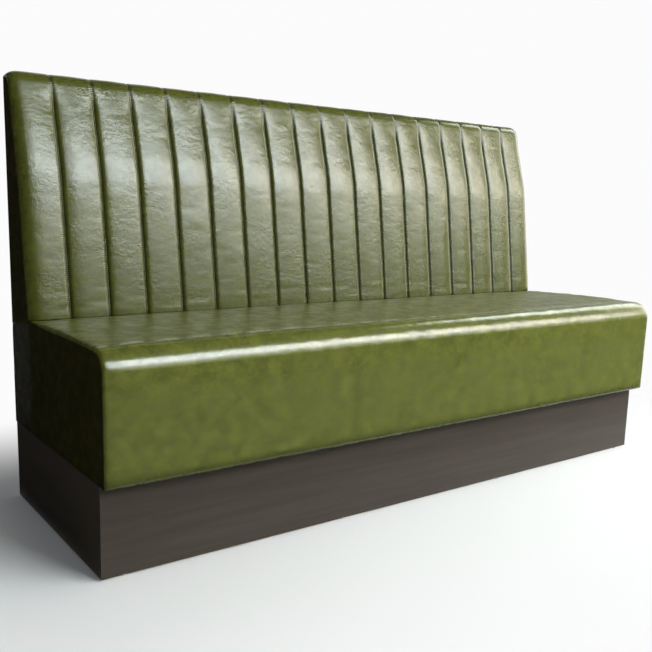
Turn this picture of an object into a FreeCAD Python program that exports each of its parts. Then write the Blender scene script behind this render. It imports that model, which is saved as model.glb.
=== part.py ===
import FreeCAD, Part
import math
import os

# A straight booth seat in three units: a plinth, a padded seat box and a fluted back.
# Millimetres. +Z is up, the seat faces -Y and the bench runs along X.
# The origin lies on the floor, below the middle of the bench's box.

# Overall sizes
LENGTH = 1800.0
DEPTH = 600.0
HEIGHT = 1050.0
SEAT_HEIGHT = 480.0

# Upholstery layers that every unit shares
COVER = 1.5
SOFT_CLEARANCE = 0.3
WADDING = 4.0
REAR_PANEL = 3.2
REAR_PANEL_MARGIN = 4.0
COVER_FLAP = 25.0

# Plinth: boards faced with laminate, standing on nailed glides
PLINTH_HEIGHT = 200.0
PLINTH_FRONT_SETBACK = 40.0
PLINTH_END_INSET = 3.0
PLINTH_BOARD = 18.0
LAMINATE = 1.0
BEARER_BOARD = 18.0
BEARER_PLACE_SHARES = (-0.6, -0.2, 0.2, 0.6)
CORNER_BLOCK_WIDTH = 40.0
CORNER_BLOCK_HEIGHT = 150.0

# Glides and their nails
GLIDE_HEIGHT = 4.0
GLIDE_DIAMETER = 18.0
GLIDE_EDGE = 1.0
GLIDE_PLACE_SHARES = (-0.94, -0.31, 0.31, 0.94)
NAIL_DIAMETER = 3.0
NAIL_LENGTH = 18.0
NAIL_HEAD_DIAMETER = 7.0
NAIL_HEAD_HEIGHT = 1.2
NAIL_HEAD_SINK = 0.4

# Seat box: gables and ribs on two rails, a front panel, a deck and a wedge for the back
SEAT_BOARD = 18.0
FRONT_PANEL = 12.0
DECK = 18.0
RIB_PLACE_SHARES = (-0.5, 0.0, 0.5)
SEAT_RAIL_WIDTH = 60.0
SEAT_RAIL_HEIGHT = 22.0
LEDGE_DROP = 30.0

# Seat padding: crown, bullnose and the rounded foot of the front border
BORDER_FOAM = 20.0
BULLNOSE_RADIUS = 48.0
NOSE_DROP = 8.0
SEAT_CROWN = 4.0
END_CROWN = 3.0
END_ROUND = 12.0
BORDER_FOOT_RADIUS = 9.0
UNDER_RETURN = 30.0
CROWN_PLACE_SHARES = (0.0, 0.5, 0.85)
ROUNDING_STEP_SHARES = (0.0, 0.4, 0.75, 1.0)
FOAM_END_ANGLE = 65.0

# Back: the crest line of the flutes, seen from the end of the bench
BACK_DEPTH_AT_SEAT = 155.0
BACK_DEPTH_AT_TOP = 49.0
BACK_RAKE = 7.5
BEND_HEIGHT_SHARE = 0.61
BEND_RADIUS = 600.0
BOARD_TOP_RADIUS = 12.0
BACK_BOARD = 4.0

# Flutes: a wide crest arc between rounded shoulders that meet at the seams
FLUTE_COUNT = 18
FLUTE_CREST_RADIUS = 300.0
FLUTE_SHOULDER_RADIUS = 16.0
FLUTE_SEAM_SLOPE = 58.0
FLUTE_BED = 2.0
FLUTE_GAP = 2.0
END_FLUTE_RADIUS = 28.0
END_FLUTE_SLOPE = 75.0
REAR_FLAP_HEIGHT = 60.0
BEND_STEP_SHARES = (0.0, 1 / 3, 2 / 3, 1.0)
ROLL_STEP_SHARES = (0.0, 0.25, 0.5, 0.75, 1.0)

# Back frame
BACK_GABLE = 18.0
BACK_RAIL = 30.0
TOP_RAIL = 18.0
TOP_RAIL_HEIGHT = 70.0
MIDDLE_RAIL = 18.0
MIDDLE_RAIL_HEIGHT = 70.0
MIDDLE_RAIL_SHARE = 0.55

# Fastenings: bolts into sleeve nuts for the back, screws for the plinth
BOLT_DIAMETER = 8.0
BOLT_REACH = 16.0
BOLT_HEAD_WIDTH = 13.0
BOLT_HEAD_HEIGHT = 5.5
BOLT_CLEARANCE = 0.25
BOLT_PLACE_SHARES = (-0.75, -0.25, 0.25, 0.75)
SLEEVE_DIAMETER = 12.0
SLEEVE_LENGTH = 18.0
SCREW_DIAMETER = 5.0
SCREW_LENGTH = 50.0
SCREW_HEAD_DIAMETER = 9.0
SCREW_HEAD_HEIGHT = 3.0
SCREW_EDGE_SHARE = 0.75

# How far a cutting tool runs past what it cuts
OVERRUN = 5.0

# Places worked out from the sizes above
HALF = LENGTH / 2
FRONT = -DEPTH / 2
REAR = DEPTH / 2
COVER_REAR = REAR - REAR_PANEL
FRAME_REAR = COVER_REAR - COVER
FRAME_HALF = HALF - COVER - SOFT_CLEARANCE - WADDING
SOFT_INSET = COVER + SOFT_CLEARANCE
PANEL_FRONT = FRONT + SOFT_INSET + BORDER_FOAM
PANEL_REAR = PANEL_FRONT + FRONT_PANEL
DECK_TOP = SEAT_HEIGHT - SEAT_CROWN - END_CROWN - BULLNOSE_RADIUS - NOSE_DROP
DECK_UNDER = DECK_TOP - DECK
BORDER_UNDER = PLINTH_HEIGHT - COVER
LEDGE_REAR_HEIGHT = SEAT_HEIGHT - LEDGE_DROP
RAIL_TOP = PLINTH_HEIGHT + SEAT_RAIL_HEIGHT
PLINTH_HALF = HALF - PLINTH_END_INSET
PLINTH_FRONT = FRONT + PLINTH_FRONT_SETBACK
RAKE = math.radians(BACK_RAKE)
PITCH = LENGTH / FLUTE_COUNT
HALF_PITCH = PITCH / 2
SEAM_SIDE = FLUTE_SHOULDER_RADIUS * math.sin(math.radians(FLUTE_SEAM_SLOPE))
SEAM_CREST_ANGLE = math.asin((HALF_PITCH - SEAM_SIDE) / (FLUTE_CREST_RADIUS - FLUTE_SHOULDER_RADIUS))
END_SIDE = END_FLUTE_RADIUS * math.sin(math.radians(END_FLUTE_SLOPE))
END_FALL = END_FLUTE_RADIUS * math.cos(math.radians(END_FLUTE_SLOPE))
END_CREST_ANGLE = math.asin((HALF_PITCH - END_SIDE) / (FLUTE_CREST_RADIUS - END_FLUTE_RADIUS))
END_CENTRE_DROP = FLUTE_CREST_RADIUS - (FLUTE_CREST_RADIUS - END_FLUTE_RADIUS) * math.cos(END_CREST_ANGLE)
END_DROP = END_CENTRE_DROP - END_FALL
FLUTE_DEPTH = END_DROP + FLUTE_BED
BOARD_INSET = FLUTE_DEPTH + SOFT_CLEARANCE
FRAME_INSET = BOARD_INSET + BACK_BOARD
CREST_TOP_RADIUS = BOARD_TOP_RADIUS + BOARD_INSET


def box(x_range, y_range, z_range):
    """A block between two values along each axis."""
    corner = FreeCAD.Vector(x_range[0], y_range[0], z_range[0])
    return Part.makeBox(x_range[1] - x_range[0], y_range[1] - y_range[0], z_range[1] - z_range[0], corner)


def rod(radius, base, direction, length):
    """A round bar from base along direction."""
    return Part.makeCylinder(radius, length, base, direction)


def line_edge(start, end):
    """A straight edge between two vectors."""
    return Part.LineSegment(start, end).toShape()


def arc_edge(start, middle, end):
    """A round edge through three vectors."""
    return Part.Arc(start, middle, end).toShape()


def closed_wire(edges):
    """One closed wire from edges that meet end to end."""
    return Part.Wire(Part.__sortEdges__(edges))


def plate(edges, x_start, x_end):
    """A board whose outline lies in the YZ plane and whose thickness runs along X."""
    face = Part.Face(closed_wire(edges))
    solid = face.extrude(FreeCAD.Vector(x_end - x_start, 0, 0))
    solid.translate(FreeCAD.Vector(x_start, 0, 0))
    return solid


def polygon(points):
    """The edges of a closed outline through (y, z) points."""
    corners = [FreeCAD.Vector(0, y, z) for y, z in points]
    return [line_edge(a, b) for a, b in zip(corners, corners[1:] + corners[:1])]


def rounded_path(points, radii):
    """An open path of lines through (y, z) points, with a tangent arc at each inner point."""
    corners = [FreeCAD.Vector(0, y, z) for y, z in points]
    edges = []
    start = corners[0]
    for before, corner, after, radius in zip(corners, corners[1:], corners[2:], radii):
        towards = (before - corner).normalize()
        away = (after - corner).normalize()
        half_turn = (math.pi - towards.getAngle(away)) / 2
        reach = radius * math.tan(half_turn)
        bisector = (towards + away).normalize()
        middle = corner + bisector * (radius / math.cos(half_turn) - radius)
        entry = corner + towards * reach
        edges.append(line_edge(start, entry))
        start = corner + away * reach
        edges.append(arc_edge(entry, middle, start))
    edges.append(line_edge(start, corners[-1]))
    return edges


def shifted(line, inward):
    """A line of the back's outline, moved towards the inside of the back."""
    (y, z), (run, rise) = line
    return (y + inward * rise, z - inward * run), (run, rise)


def crossing(first, second):
    """The (y, z) point where two lines meet."""
    (y, z), (run, rise) = first
    (other_y, other_z), (other_run, other_rise) = second
    across = run * other_rise - rise * other_run
    along = ((other_y - y) * other_rise - (other_z - z) * other_run) / across
    return y + along * run, z + along * rise


# The back's outline as lines, each a point and a direction with the back on its right
FRONT_LINE = ((REAR - BACK_DEPTH_AT_SEAT, SEAT_HEIGHT), (math.sin(RAKE), math.cos(RAKE)))
FOOT_LINE = ((REAR, LEDGE_REAR_HEIGHT), (-math.cos(RAKE), math.sin(RAKE)))
TOP_LINE = ((REAR, HEIGHT), (1.0, 0.0))
BEND_Z = SEAT_HEIGHT + BEND_HEIGHT_SHARE * (HEIGHT - SEAT_HEIGHT)
BEND_POINT = crossing(FRONT_LINE, ((REAR, BEND_Z), (1.0, 0.0)))
LEAN_RUN = REAR - BACK_DEPTH_AT_TOP - BEND_POINT[0]
LEAN_LENGTH = math.hypot(LEAN_RUN, HEIGHT - BEND_Z)
LEAN_LINE = (BEND_POINT, (LEAN_RUN / LEAN_LENGTH, (HEIGHT - BEND_Z) / LEAN_LENGTH))
FOOT_Y, FOOT_Z = crossing(FRONT_LINE, FOOT_LINE)
SEAT_REAR = FOOT_Y - SOFT_CLEARANCE


def upright(y):
    """A vertical line that runs down the rear."""
    return (y, 0.0), (0.0, -1.0)


def back_points(inset, foot_gap, rear_y):
    """Corners of the back's front and top, from its foot to a vertical line near the rear."""
    front = shifted(FRONT_LINE, inset)
    lean = shifted(LEAN_LINE, inset)
    top = shifted(TOP_LINE, inset)
    foot = crossing(front, shifted(FOOT_LINE, foot_gap))
    return [foot, crossing(front, lean), crossing(lean, top), crossing(top, upright(rear_y))]


def back_path(inset, foot_gap, rear_y):
    """The back's front and top as an open path of lines and tangent arcs."""
    radii = (BEND_RADIUS - inset, CREST_TOP_RADIUS - inset)
    return rounded_path(back_points(inset, foot_gap, rear_y), radii)


def back_outline(inset, foot_gap, rear_y):
    """The back's closed end outline, cut off at a vertical line near the rear."""
    points = back_points(inset, foot_gap, rear_y)
    rear_foot = crossing(upright(rear_y), shifted(FOOT_LINE, foot_gap))
    return back_path(inset, foot_gap, rear_y) + polygon([points[-1], rear_foot, points[0]])[:2]


def make_plinth_boards():
    """Front, rear and end boards, cross bearers and glued corner blocks."""
    heights = (GLIDE_HEIGHT, PLINTH_HEIGHT)
    half = PLINTH_HALF - LAMINATE
    inner_half = half - PLINTH_BOARD
    front = PLINTH_FRONT + LAMINATE
    inner_front = front + PLINTH_BOARD
    inner_rear = REAR - PLINTH_BOARD
    nodes = {
        "plinth_front_board": box((-half, half), (front, inner_front), heights),
        "plinth_rear_board": box((-half, half), (inner_rear, REAR), heights),
        "plinth_left_board": box((-half, -inner_half), (inner_front, inner_rear), heights),
        "plinth_right_board": box((inner_half, half), (inner_front, inner_rear), heights),
    }
    for number, share in enumerate(BEARER_PLACE_SHARES, 1):
        x = share * HALF
        sides = (x - BEARER_BOARD / 2, x + BEARER_BOARD / 2)
        nodes["plinth_bearer_%d" % number] = box(sides, (inner_front, inner_rear), heights)
    blocks = []
    block_heights = (PLINTH_HEIGHT - CORNER_BLOCK_HEIGHT, PLINTH_HEIGHT)
    block_inner = inner_half - CORNER_BLOCK_WIDTH
    for x_range in ((-inner_half, -block_inner), (block_inner, inner_half)):
        blocks.append(box(x_range, (inner_front, inner_front + CORNER_BLOCK_WIDTH), block_heights))
        blocks.append(box(x_range, (inner_rear - CORNER_BLOCK_WIDTH, inner_rear), block_heights))
    nodes["plinth_corner_blocks"] = Part.makeCompound(blocks)
    return nodes


def make_plinth_facings():
    """Laminate sheets on the front and the two ends."""
    heights = (GLIDE_HEIGHT, PLINTH_HEIGHT)
    behind = PLINTH_FRONT + LAMINATE
    ends = PLINTH_HALF - LAMINATE
    return {
        "plinth_front_facing": box((-PLINTH_HALF, PLINTH_HALF), (PLINTH_FRONT, behind), heights),
        "plinth_left_facing": box((-PLINTH_HALF, -ends), (behind, REAR), heights),
        "plinth_right_facing": box((ends, PLINTH_HALF), (behind, REAR), heights),
    }


def glide_places():
    """The middle of each glide, under the front and rear boards."""
    rows = (PLINTH_FRONT + LAMINATE + PLINTH_BOARD / 2, REAR - PLINTH_BOARD / 2)
    return [(share * HALF, y) for y in rows for share in GLIDE_PLACE_SHARES]


def make_glide(x, y):
    """A round glide with a bevelled tread and a sunk nail hole."""
    up = FreeCAD.Vector(0, 0, 1)
    radius = GLIDE_DIAMETER / 2
    tread = Part.makeCone(radius - GLIDE_EDGE, radius, GLIDE_EDGE, FreeCAD.Vector(x, y, 0), up)
    body = rod(radius, FreeCAD.Vector(x, y, GLIDE_EDGE), up, GLIDE_HEIGHT - GLIDE_EDGE)
    hole = rod(NAIL_DIAMETER / 2, FreeCAD.Vector(x, y, -OVERRUN), up, GLIDE_HEIGHT + 2 * OVERRUN)
    sink_depth = OVERRUN + NAIL_HEAD_SINK + NAIL_HEAD_HEIGHT
    sink = rod(NAIL_HEAD_DIAMETER / 2, FreeCAD.Vector(x, y, -OVERRUN), up, sink_depth)
    return tread.fuse(body).removeSplitter().cut(hole).cut(sink)


def make_nail(x, y):
    """A flat-headed nail that holds one glide."""
    up = FreeCAD.Vector(0, 0, 1)
    head = rod(NAIL_HEAD_DIAMETER / 2, FreeCAD.Vector(x, y, NAIL_HEAD_SINK), up, NAIL_HEAD_HEIGHT)
    shank = rod(NAIL_DIAMETER / 2, FreeCAD.Vector(x, y, NAIL_HEAD_SINK), up, NAIL_LENGTH)
    return head.fuse(shank)


def make_screw(x, y):
    """A screw that goes down through a seat rail into a plinth bearer."""
    down = FreeCAD.Vector(0, 0, -1)
    head_top = FreeCAD.Vector(x, y, RAIL_TOP + SCREW_HEAD_HEIGHT)
    head = rod(SCREW_HEAD_DIAMETER / 2, head_top, down, SCREW_HEAD_HEIGHT)
    shank = rod(SCREW_DIAMETER / 2, FreeCAD.Vector(x, y, RAIL_TOP), down, SCREW_LENGTH)
    return head.fuse(shank)


def screw_places():
    """The middle of each plinth screw, over the bearers and away from the rails' outer edges."""
    across = SEAT_RAIL_WIDTH * SCREW_EDGE_SHARE
    rows = (PANEL_REAR + across, FRAME_REAR - across)
    return [(share * HALF, y) for y in rows for share in BEARER_PLACE_SHARES]


def make_seat_frame():
    """Gables, ribs, rails, front panel, deck and the wedge that the back stands on."""
    inner_half = FRAME_HALF - SEAT_BOARD
    depths = (PANEL_REAR, FRAME_REAR)
    heights = (PLINTH_HEIGHT, DECK_UNDER)
    rail_heights = (PLINTH_HEIGHT, RAIL_TOP)
    full = (-FRAME_HALF, FRAME_HALF)
    between = (-inner_half, inner_half)
    nodes = {
        "seat_left_gable": box((-FRAME_HALF, -inner_half), depths, heights),
        "seat_right_gable": box((inner_half, FRAME_HALF), depths, heights),
        "seat_front_rail": box(between, (PANEL_REAR, PANEL_REAR + SEAT_RAIL_WIDTH), rail_heights),
        "seat_rear_rail": box(between, (FRAME_REAR - SEAT_RAIL_WIDTH, FRAME_REAR), rail_heights),
        "seat_front_panel": box(full, (PANEL_FRONT, PANEL_REAR), heights),
        "seat_deck": box(full, (PANEL_FRONT, FRAME_REAR), (DECK_UNDER, DECK_TOP)),
    }
    for number, share in enumerate(RIB_PLACE_SHARES, 1):
        sides = (share * HALF - SEAT_BOARD / 2, share * HALF + SEAT_BOARD / 2)
        nodes["seat_rib_%d" % number] = box(sides, depths, (RAIL_TOP, DECK_UNDER))
    rear_top = crossing(FOOT_LINE, upright(FRAME_REAR))
    wedge = polygon([(FOOT_Y, DECK_TOP), (FOOT_Y, FOOT_Z), rear_top, (FRAME_REAR, DECK_TOP)])
    nodes["seat_back_ledge"] = plate(wedge, -FRAME_HALF, FRAME_HALF)
    return nodes


def crown_stations(inset, last_angle):
    """Places along X, from the left end to the right, with the rounding at each."""
    straight_half = HALF - END_ROUND
    radius = END_ROUND - inset
    right = [(share * straight_half, 0.0) for share in CROWN_PLACE_SHARES]
    for share in ROUNDING_STEP_SHARES:
        angle = share * last_angle
        right.append((straight_half + radius * math.sin(angle), radius * (1 - math.cos(angle))))
    left = [(-x, rounding) for x, rounding in reversed(right[1:])]
    return left + right


def seat_top_edges(x, inset, rounding):
    """The crowned top and the bullnose, as two arcs, with the points where they start and end."""
    crest = SEAT_HEIGHT - SEAT_CROWN - END_CROWN * (x / HALF) ** 2
    nose_y = FRONT + BULLNOSE_RADIUS
    nose_z = crest - BULLNOSE_RADIUS
    radius = BULLNOSE_RADIUS - inset - rounding
    slant = radius * math.sqrt(1 / 2)
    rear = FreeCAD.Vector(x, SEAT_REAR, crest - inset)
    nose_top = FreeCAD.Vector(x, nose_y, nose_z + radius)
    crown = (rear + nose_top) / 2 + FreeCAD.Vector(0, 0, SEAT_CROWN)
    nose_middle = FreeCAD.Vector(x, nose_y - slant, nose_z + slant)
    nose_front = FreeCAD.Vector(x, nose_y - radius, nose_z)
    return rear, [arc_edge(rear, crown, nose_top), arc_edge(nose_top, nose_middle, nose_front)], nose_front


def border_foot_edges(x, inset, rounding, top, under_end):
    """The front border from a point at its top, round its foot and back along its underside."""
    radius = BORDER_FOOT_RADIUS * (1 - rounding / END_ROUND) - inset
    under = BORDER_UNDER + inset
    slant = radius * (1 - math.sqrt(1 / 2))
    front_low = FreeCAD.Vector(x, top.y, under + radius)
    middle = FreeCAD.Vector(x, top.y + slant, under + slant)
    under_front = FreeCAD.Vector(x, top.y + radius, under)
    end = FreeCAD.Vector(x, under_end, under)
    edges = [line_edge(top, front_low), arc_edge(front_low, middle, under_front)]
    edges.append(line_edge(under_front, end))
    return edges, end


def seat_cover_section(x, rounding):
    """One slice of the wrap: seat top, bullnose, front border and the turn under it."""
    under_end = FRONT + UNDER_RETURN
    outer_rear, outer_top, outer_nose = seat_top_edges(x, 0.0, rounding)
    inner_rear, inner_top, inner_nose = seat_top_edges(x, COVER, rounding)
    outer_foot, outer_end = border_foot_edges(x, 0.0, rounding, outer_nose, under_end)
    inner_foot, inner_end = border_foot_edges(x, COVER, rounding, inner_nose, under_end)
    ends = [line_edge(outer_rear, inner_rear), line_edge(outer_end, inner_end)]
    return closed_wire(outer_top + outer_foot + inner_top + inner_foot + ends)


def seat_foam_section(x, rounding):
    """One slice of the seat foam, flat where it lies on the deck."""
    rear, top, nose = seat_top_edges(x, SOFT_INSET, rounding)
    front_foot = FreeCAD.Vector(x, nose.y, DECK_TOP)
    rear_foot = FreeCAD.Vector(x, SEAT_REAR, DECK_TOP)
    flats = [line_edge(nose, front_foot), line_edge(front_foot, rear_foot), line_edge(rear_foot, rear)]
    return closed_wire(top + flats)


def border_foam_section(x, rounding):
    """One slice of the foam on the front panel."""
    top_z = DECK_TOP - SOFT_CLEARANCE
    front_top = FreeCAD.Vector(x, FRONT + SOFT_INSET + rounding, top_z)
    foot, under_rear = border_foot_edges(x, SOFT_INSET, rounding, front_top, PANEL_FRONT)
    rear_top = FreeCAD.Vector(x, PANEL_FRONT, top_z)
    return closed_wire(foot + [line_edge(under_rear, rear_top), line_edge(rear_top, front_top)])


def loft(section, stations):
    """A solid through the slices at each station."""
    return Part.makeLoft([section(x, rounding) for x, rounding in stations], True, True)


def seat_end_outline(x, rounding):
    """The seat's end outline at one X, below the foot of the back."""
    rear, top_edges, nose_front = seat_top_edges(x, 0.0, rounding)
    nose_top = FreeCAD.Vector(x, FRONT + BULLNOSE_RADIUS, nose_front.z + BULLNOSE_RADIUS - rounding)
    low_front = FreeCAD.Vector(x, nose_front.y, PLINTH_HEIGHT)
    low_rear = FreeCAD.Vector(x, COVER_REAR, PLINTH_HEIGHT)
    foot = shifted(FOOT_LINE, -SOFT_CLEARANCE)
    rear_y, rear_z = crossing(foot, upright(COVER_REAR))
    step_y, step_z = crossing(foot, upright(SEAT_REAR))
    rear_top = FreeCAD.Vector(x, rear_y, rear_z)
    step = FreeCAD.Vector(x, step_y, step_z)
    corners = [nose_front, low_front, low_rear, rear_top, step, rear, nose_top]
    flats = [line_edge(a, b) for a, b in zip(corners, corners[1:])]
    return closed_wire(flats + top_edges[1:])


def make_seat_end_cover(side):
    """The end panel of the seat, bevelled along its edge and folded onto the rear."""
    inner = side * (HALF - COVER)
    angle = math.asin(1 - COVER / END_ROUND)
    inner_outline = seat_end_outline(inner, END_ROUND * (1 - math.cos(angle)))
    outer_outline = seat_end_outline(side * HALF, END_ROUND)
    panel = Part.makeLoft([inner_outline, outer_outline], True, True)
    flap_top = crossing(FOOT_LINE, upright(COVER_REAR))[1] - SOFT_CLEARANCE
    x_range = sorted((side * (HALF - COVER_FLAP), inner))
    flap = box(x_range, (FRAME_REAR, COVER_REAR), (PLINTH_HEIGHT, flap_top))
    return panel.fuse(flap)


def make_seat_soft_parts():
    """Foams, wadding and covers of the seat."""
    cover_angle = math.asin(1 - COVER / END_ROUND)
    foam_angle = math.radians(FOAM_END_ANGLE)
    foam_stations = crown_stations(SOFT_INSET, foam_angle)
    rear_top = crossing(FOOT_LINE, upright(FRAME_REAR))
    wadding = polygon([
        (PANEL_FRONT, PLINTH_HEIGHT), (PANEL_FRONT, DECK_TOP), (FOOT_Y, DECK_TOP),
        (FOOT_Y, FOOT_Z), rear_top, (FRAME_REAR, PLINTH_HEIGHT),
    ])
    outer = FRAME_HALF + WADDING
    panel_top = crossing(FOOT_LINE, upright(REAR))[1] - REAR_PANEL_MARGIN
    panel_half = HALF - REAR_PANEL_MARGIN
    panel_heights = (PLINTH_HEIGHT + REAR_PANEL_MARGIN, panel_top)
    return {
        "seat_foam": loft(seat_foam_section, foam_stations),
        "front_border_foam": loft(border_foam_section, foam_stations),
        "seat_cover": loft(seat_cover_section, crown_stations(0.0, cover_angle)),
        "seat_left_end_cover": make_seat_end_cover(-1),
        "seat_right_end_cover": make_seat_end_cover(1),
        "seat_left_wadding": plate(wadding, -outer, -FRAME_HALF),
        "seat_right_wadding": plate(wadding, FRAME_HALF, outer),
        "seat_rear_panel": box((-panel_half, panel_half), (COVER_REAR, REAR), panel_heights),
    }


def arc_stations(before, corner, after, radius, shares):
    """Places on the arc that rounds a corner of the crest line, each with its inward direction."""
    heading = math.atan2(corner[1] - before[1], corner[0] - before[0])
    turn = math.atan2(after[1] - corner[1], after[0] - corner[0]) - heading
    reach = radius * math.tan(abs(turn) / 2)
    centre_y = corner[0] - reach * math.cos(heading) + radius * math.sin(heading)
    centre_z = corner[1] - reach * math.sin(heading) - radius * math.cos(heading)
    stations = []
    for share in shares:
        angle = heading + share * turn
        inward = (math.sin(angle), -math.cos(angle))
        stations.append(((centre_y - radius * inward[0], centre_z - radius * inward[1]), inward))
    return stations


def back_stations(foot_gap, rear_y):
    """Places along the crest line from the back's foot to the rear, each with its inward direction."""
    foot, bend, top, rear = back_points(0.0, foot_gap, rear_y)
    run, rise = FRONT_LINE[1]
    stations = [(foot, (rise, -run))]
    stations += arc_stations(foot, bend, top, BEND_RADIUS, BEND_STEP_SHARES)
    stations += arc_stations(bend, top, rear, CREST_TOP_RADIUS, ROLL_STEP_SHARES)
    run, rise = TOP_LINE[1]
    return stations + [(rear, (rise, -run))]


def placed(outline, station):
    """The edges of an outline of (x, rise) lines and arcs, set square to the crest line."""
    (y, z), (inward_y, inward_z) = station
    edges = []
    for points in outline:
        vectors = [FreeCAD.Vector(x, y - rise * inward_y, z - rise * inward_z) for x, rise in points]
        edges.append(line_edge(*vectors) if len(vectors) == 2 else arc_edge(*vectors))
    return edges


def along_back(outline, foot_gap, rear_y):
    """A solid whose section is carried up the back's face, round its bend and over its top."""
    sections = [closed_wire(placed(outline, station)) for station in back_stations(foot_gap, rear_y)]
    return Part.makeLoft(sections, True, True)


def arc_points(centre, radius, start, end):
    """Start, middle and end of an arc of a flute's section, with angles from its crest."""
    turns = (start, (start + end) / 2, end)
    return [(centre[0] + radius * math.sin(turn), centre[1] + radius * math.cos(turn)) for turn in turns]


def seam_shoulder(side, gap, inset):
    """The rounded side of a flute, from its crest arc down to its seam or half a gap before it."""
    reach = FLUTE_CREST_RADIUS - FLUTE_SHOULDER_RADIUS
    centre = (side * (HALF_PITCH - SEAM_SIDE), reach * math.cos(SEAM_CREST_ANGLE) - FLUTE_CREST_RADIUS)
    radius = FLUTE_SHOULDER_RADIUS - inset
    last_angle = math.asin((SEAM_SIDE - gap / 2) / radius)
    return arc_points(centre, radius, side * SEAM_CREST_ANGLE, side * last_angle)


def end_shoulder(side, inset):
    """The wide rounding of an end flute, from its crest arc to the end of the bench."""
    centre = (side * (HALF_PITCH - END_SIDE), -END_CENTRE_DROP)
    radius = END_FLUTE_RADIUS - inset
    last_angle = math.acos(END_FALL / radius)
    return arc_points(centre, radius, side * END_CREST_ANGLE, side * last_angle)


def flute_front(number, gap, inset):
    """A flute's left shoulder, crest and right shoulder, each as the points of an arc."""
    middle = -HALF + (number + 1 / 2) * PITCH
    left = seam_shoulder(-1, gap, inset) if number > 0 else end_shoulder(-1, inset)
    right = seam_shoulder(1, gap, inset) if number < FLUTE_COUNT - 1 else end_shoulder(1, inset)
    left_angle = SEAM_CREST_ANGLE if number > 0 else END_CREST_ANGLE
    right_angle = SEAM_CREST_ANGLE if number < FLUTE_COUNT - 1 else END_CREST_ANGLE
    crest = arc_points((0.0, -FLUTE_CREST_RADIUS), FLUTE_CREST_RADIUS - inset, -left_angle, right_angle)
    return [[(middle + x, rise) for x, rise in points] for points in (left, crest, right)]


def scalloped_front(inset):
    """The fronts of all the flutes, from one end of the bench to the other."""
    fronts = [flute_front(number, 0.0, inset) for number in range(FLUTE_COUNT)]
    return [points for front in fronts for points in front]


def rear_flap():
    """The part of the fluted cover that is turned down behind the top, scalloped like the top."""
    low = HEIGHT - REAR_FLAP_HEIGHT
    scallops = placed(scalloped_front(0.0), back_stations(0.0, FRAME_REAR)[-1])
    top_z = HEIGHT - END_DROP
    flat_half = HALF - COVER
    left_side = [(-HALF, top_z), (-flat_half, top_z), (-flat_half, low)]
    right_side = [(-x, z) for x, z in reversed(left_side)]
    corners = [FreeCAD.Vector(x, FRAME_REAR, z) for x, z in left_side + right_side]
    flats = [line_edge(a, b) for a, b in zip(corners, corners[1:])]
    return Part.Face(closed_wire(scallops + flats)).extrude(FreeCAD.Vector(0, COVER, 0))


def make_fluted_cover():
    """The fluted skin: scalloped front and top in one sheet, with its flap behind the top."""
    outer = scalloped_front(0.0)
    inner = scalloped_front(COVER)
    ends = [[outer[0][-1], inner[0][-1]], [outer[-1][-1], inner[-1][-1]]]
    return along_back(outer + inner + ends, SOFT_CLEARANCE, FRAME_REAR).fuse(rear_flap())


def flute_foam_outline(number):
    """One flute's foam: round in front, flat at its sides and on the board."""
    left, crest, right = flute_front(number, FLUTE_GAP, SOFT_INSET)
    left_bed = (left[-1][0], -FLUTE_DEPTH)
    right_bed = (right[-1][0], -FLUTE_DEPTH)
    flats = [[left[-1], left_bed], [left_bed, right_bed], [right_bed, right[-1]]]
    return [left, crest, right] + flats


def make_flute_foams():
    """One foam strip for each flute."""
    rear_y = FRAME_REAR - SOFT_CLEARANCE
    outlines = [flute_foam_outline(number) for number in range(FLUTE_COUNT)]
    return Part.makeCompound([along_back(outline, SOFT_CLEARANCE, rear_y) for outline in outlines])


def make_back_board():
    """The bent board that the flutes lie on."""
    outer = back_path(BOARD_INSET, 0.0, FRAME_REAR)
    inner = back_path(FRAME_INSET, 0.0, FRAME_REAR)
    outer_points = back_points(BOARD_INSET, 0.0, FRAME_REAR)
    inner_points = back_points(FRAME_INSET, 0.0, FRAME_REAR)
    foot_end = polygon([outer_points[0], inner_points[0]])[:1]
    rear_end = polygon([outer_points[-1], inner_points[-1]])[:1]
    return plate(outer + inner + foot_end + rear_end, -FRAME_HALF, FRAME_HALF)


def rail_behind_board(foot_start, foot_end, thickness, x_half):
    """A rail along X that lies against the back of the bent board."""
    near = shifted(FRONT_LINE, FRAME_INSET)
    far = shifted(FRONT_LINE, FRAME_INSET + thickness)
    low = shifted(FOOT_LINE, -foot_start)
    high = shifted(FOOT_LINE, -foot_end)
    corners = [crossing(near, low), crossing(near, high), crossing(far, high), crossing(far, low)]
    return plate(polygon(corners), -x_half, x_half)


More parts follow.
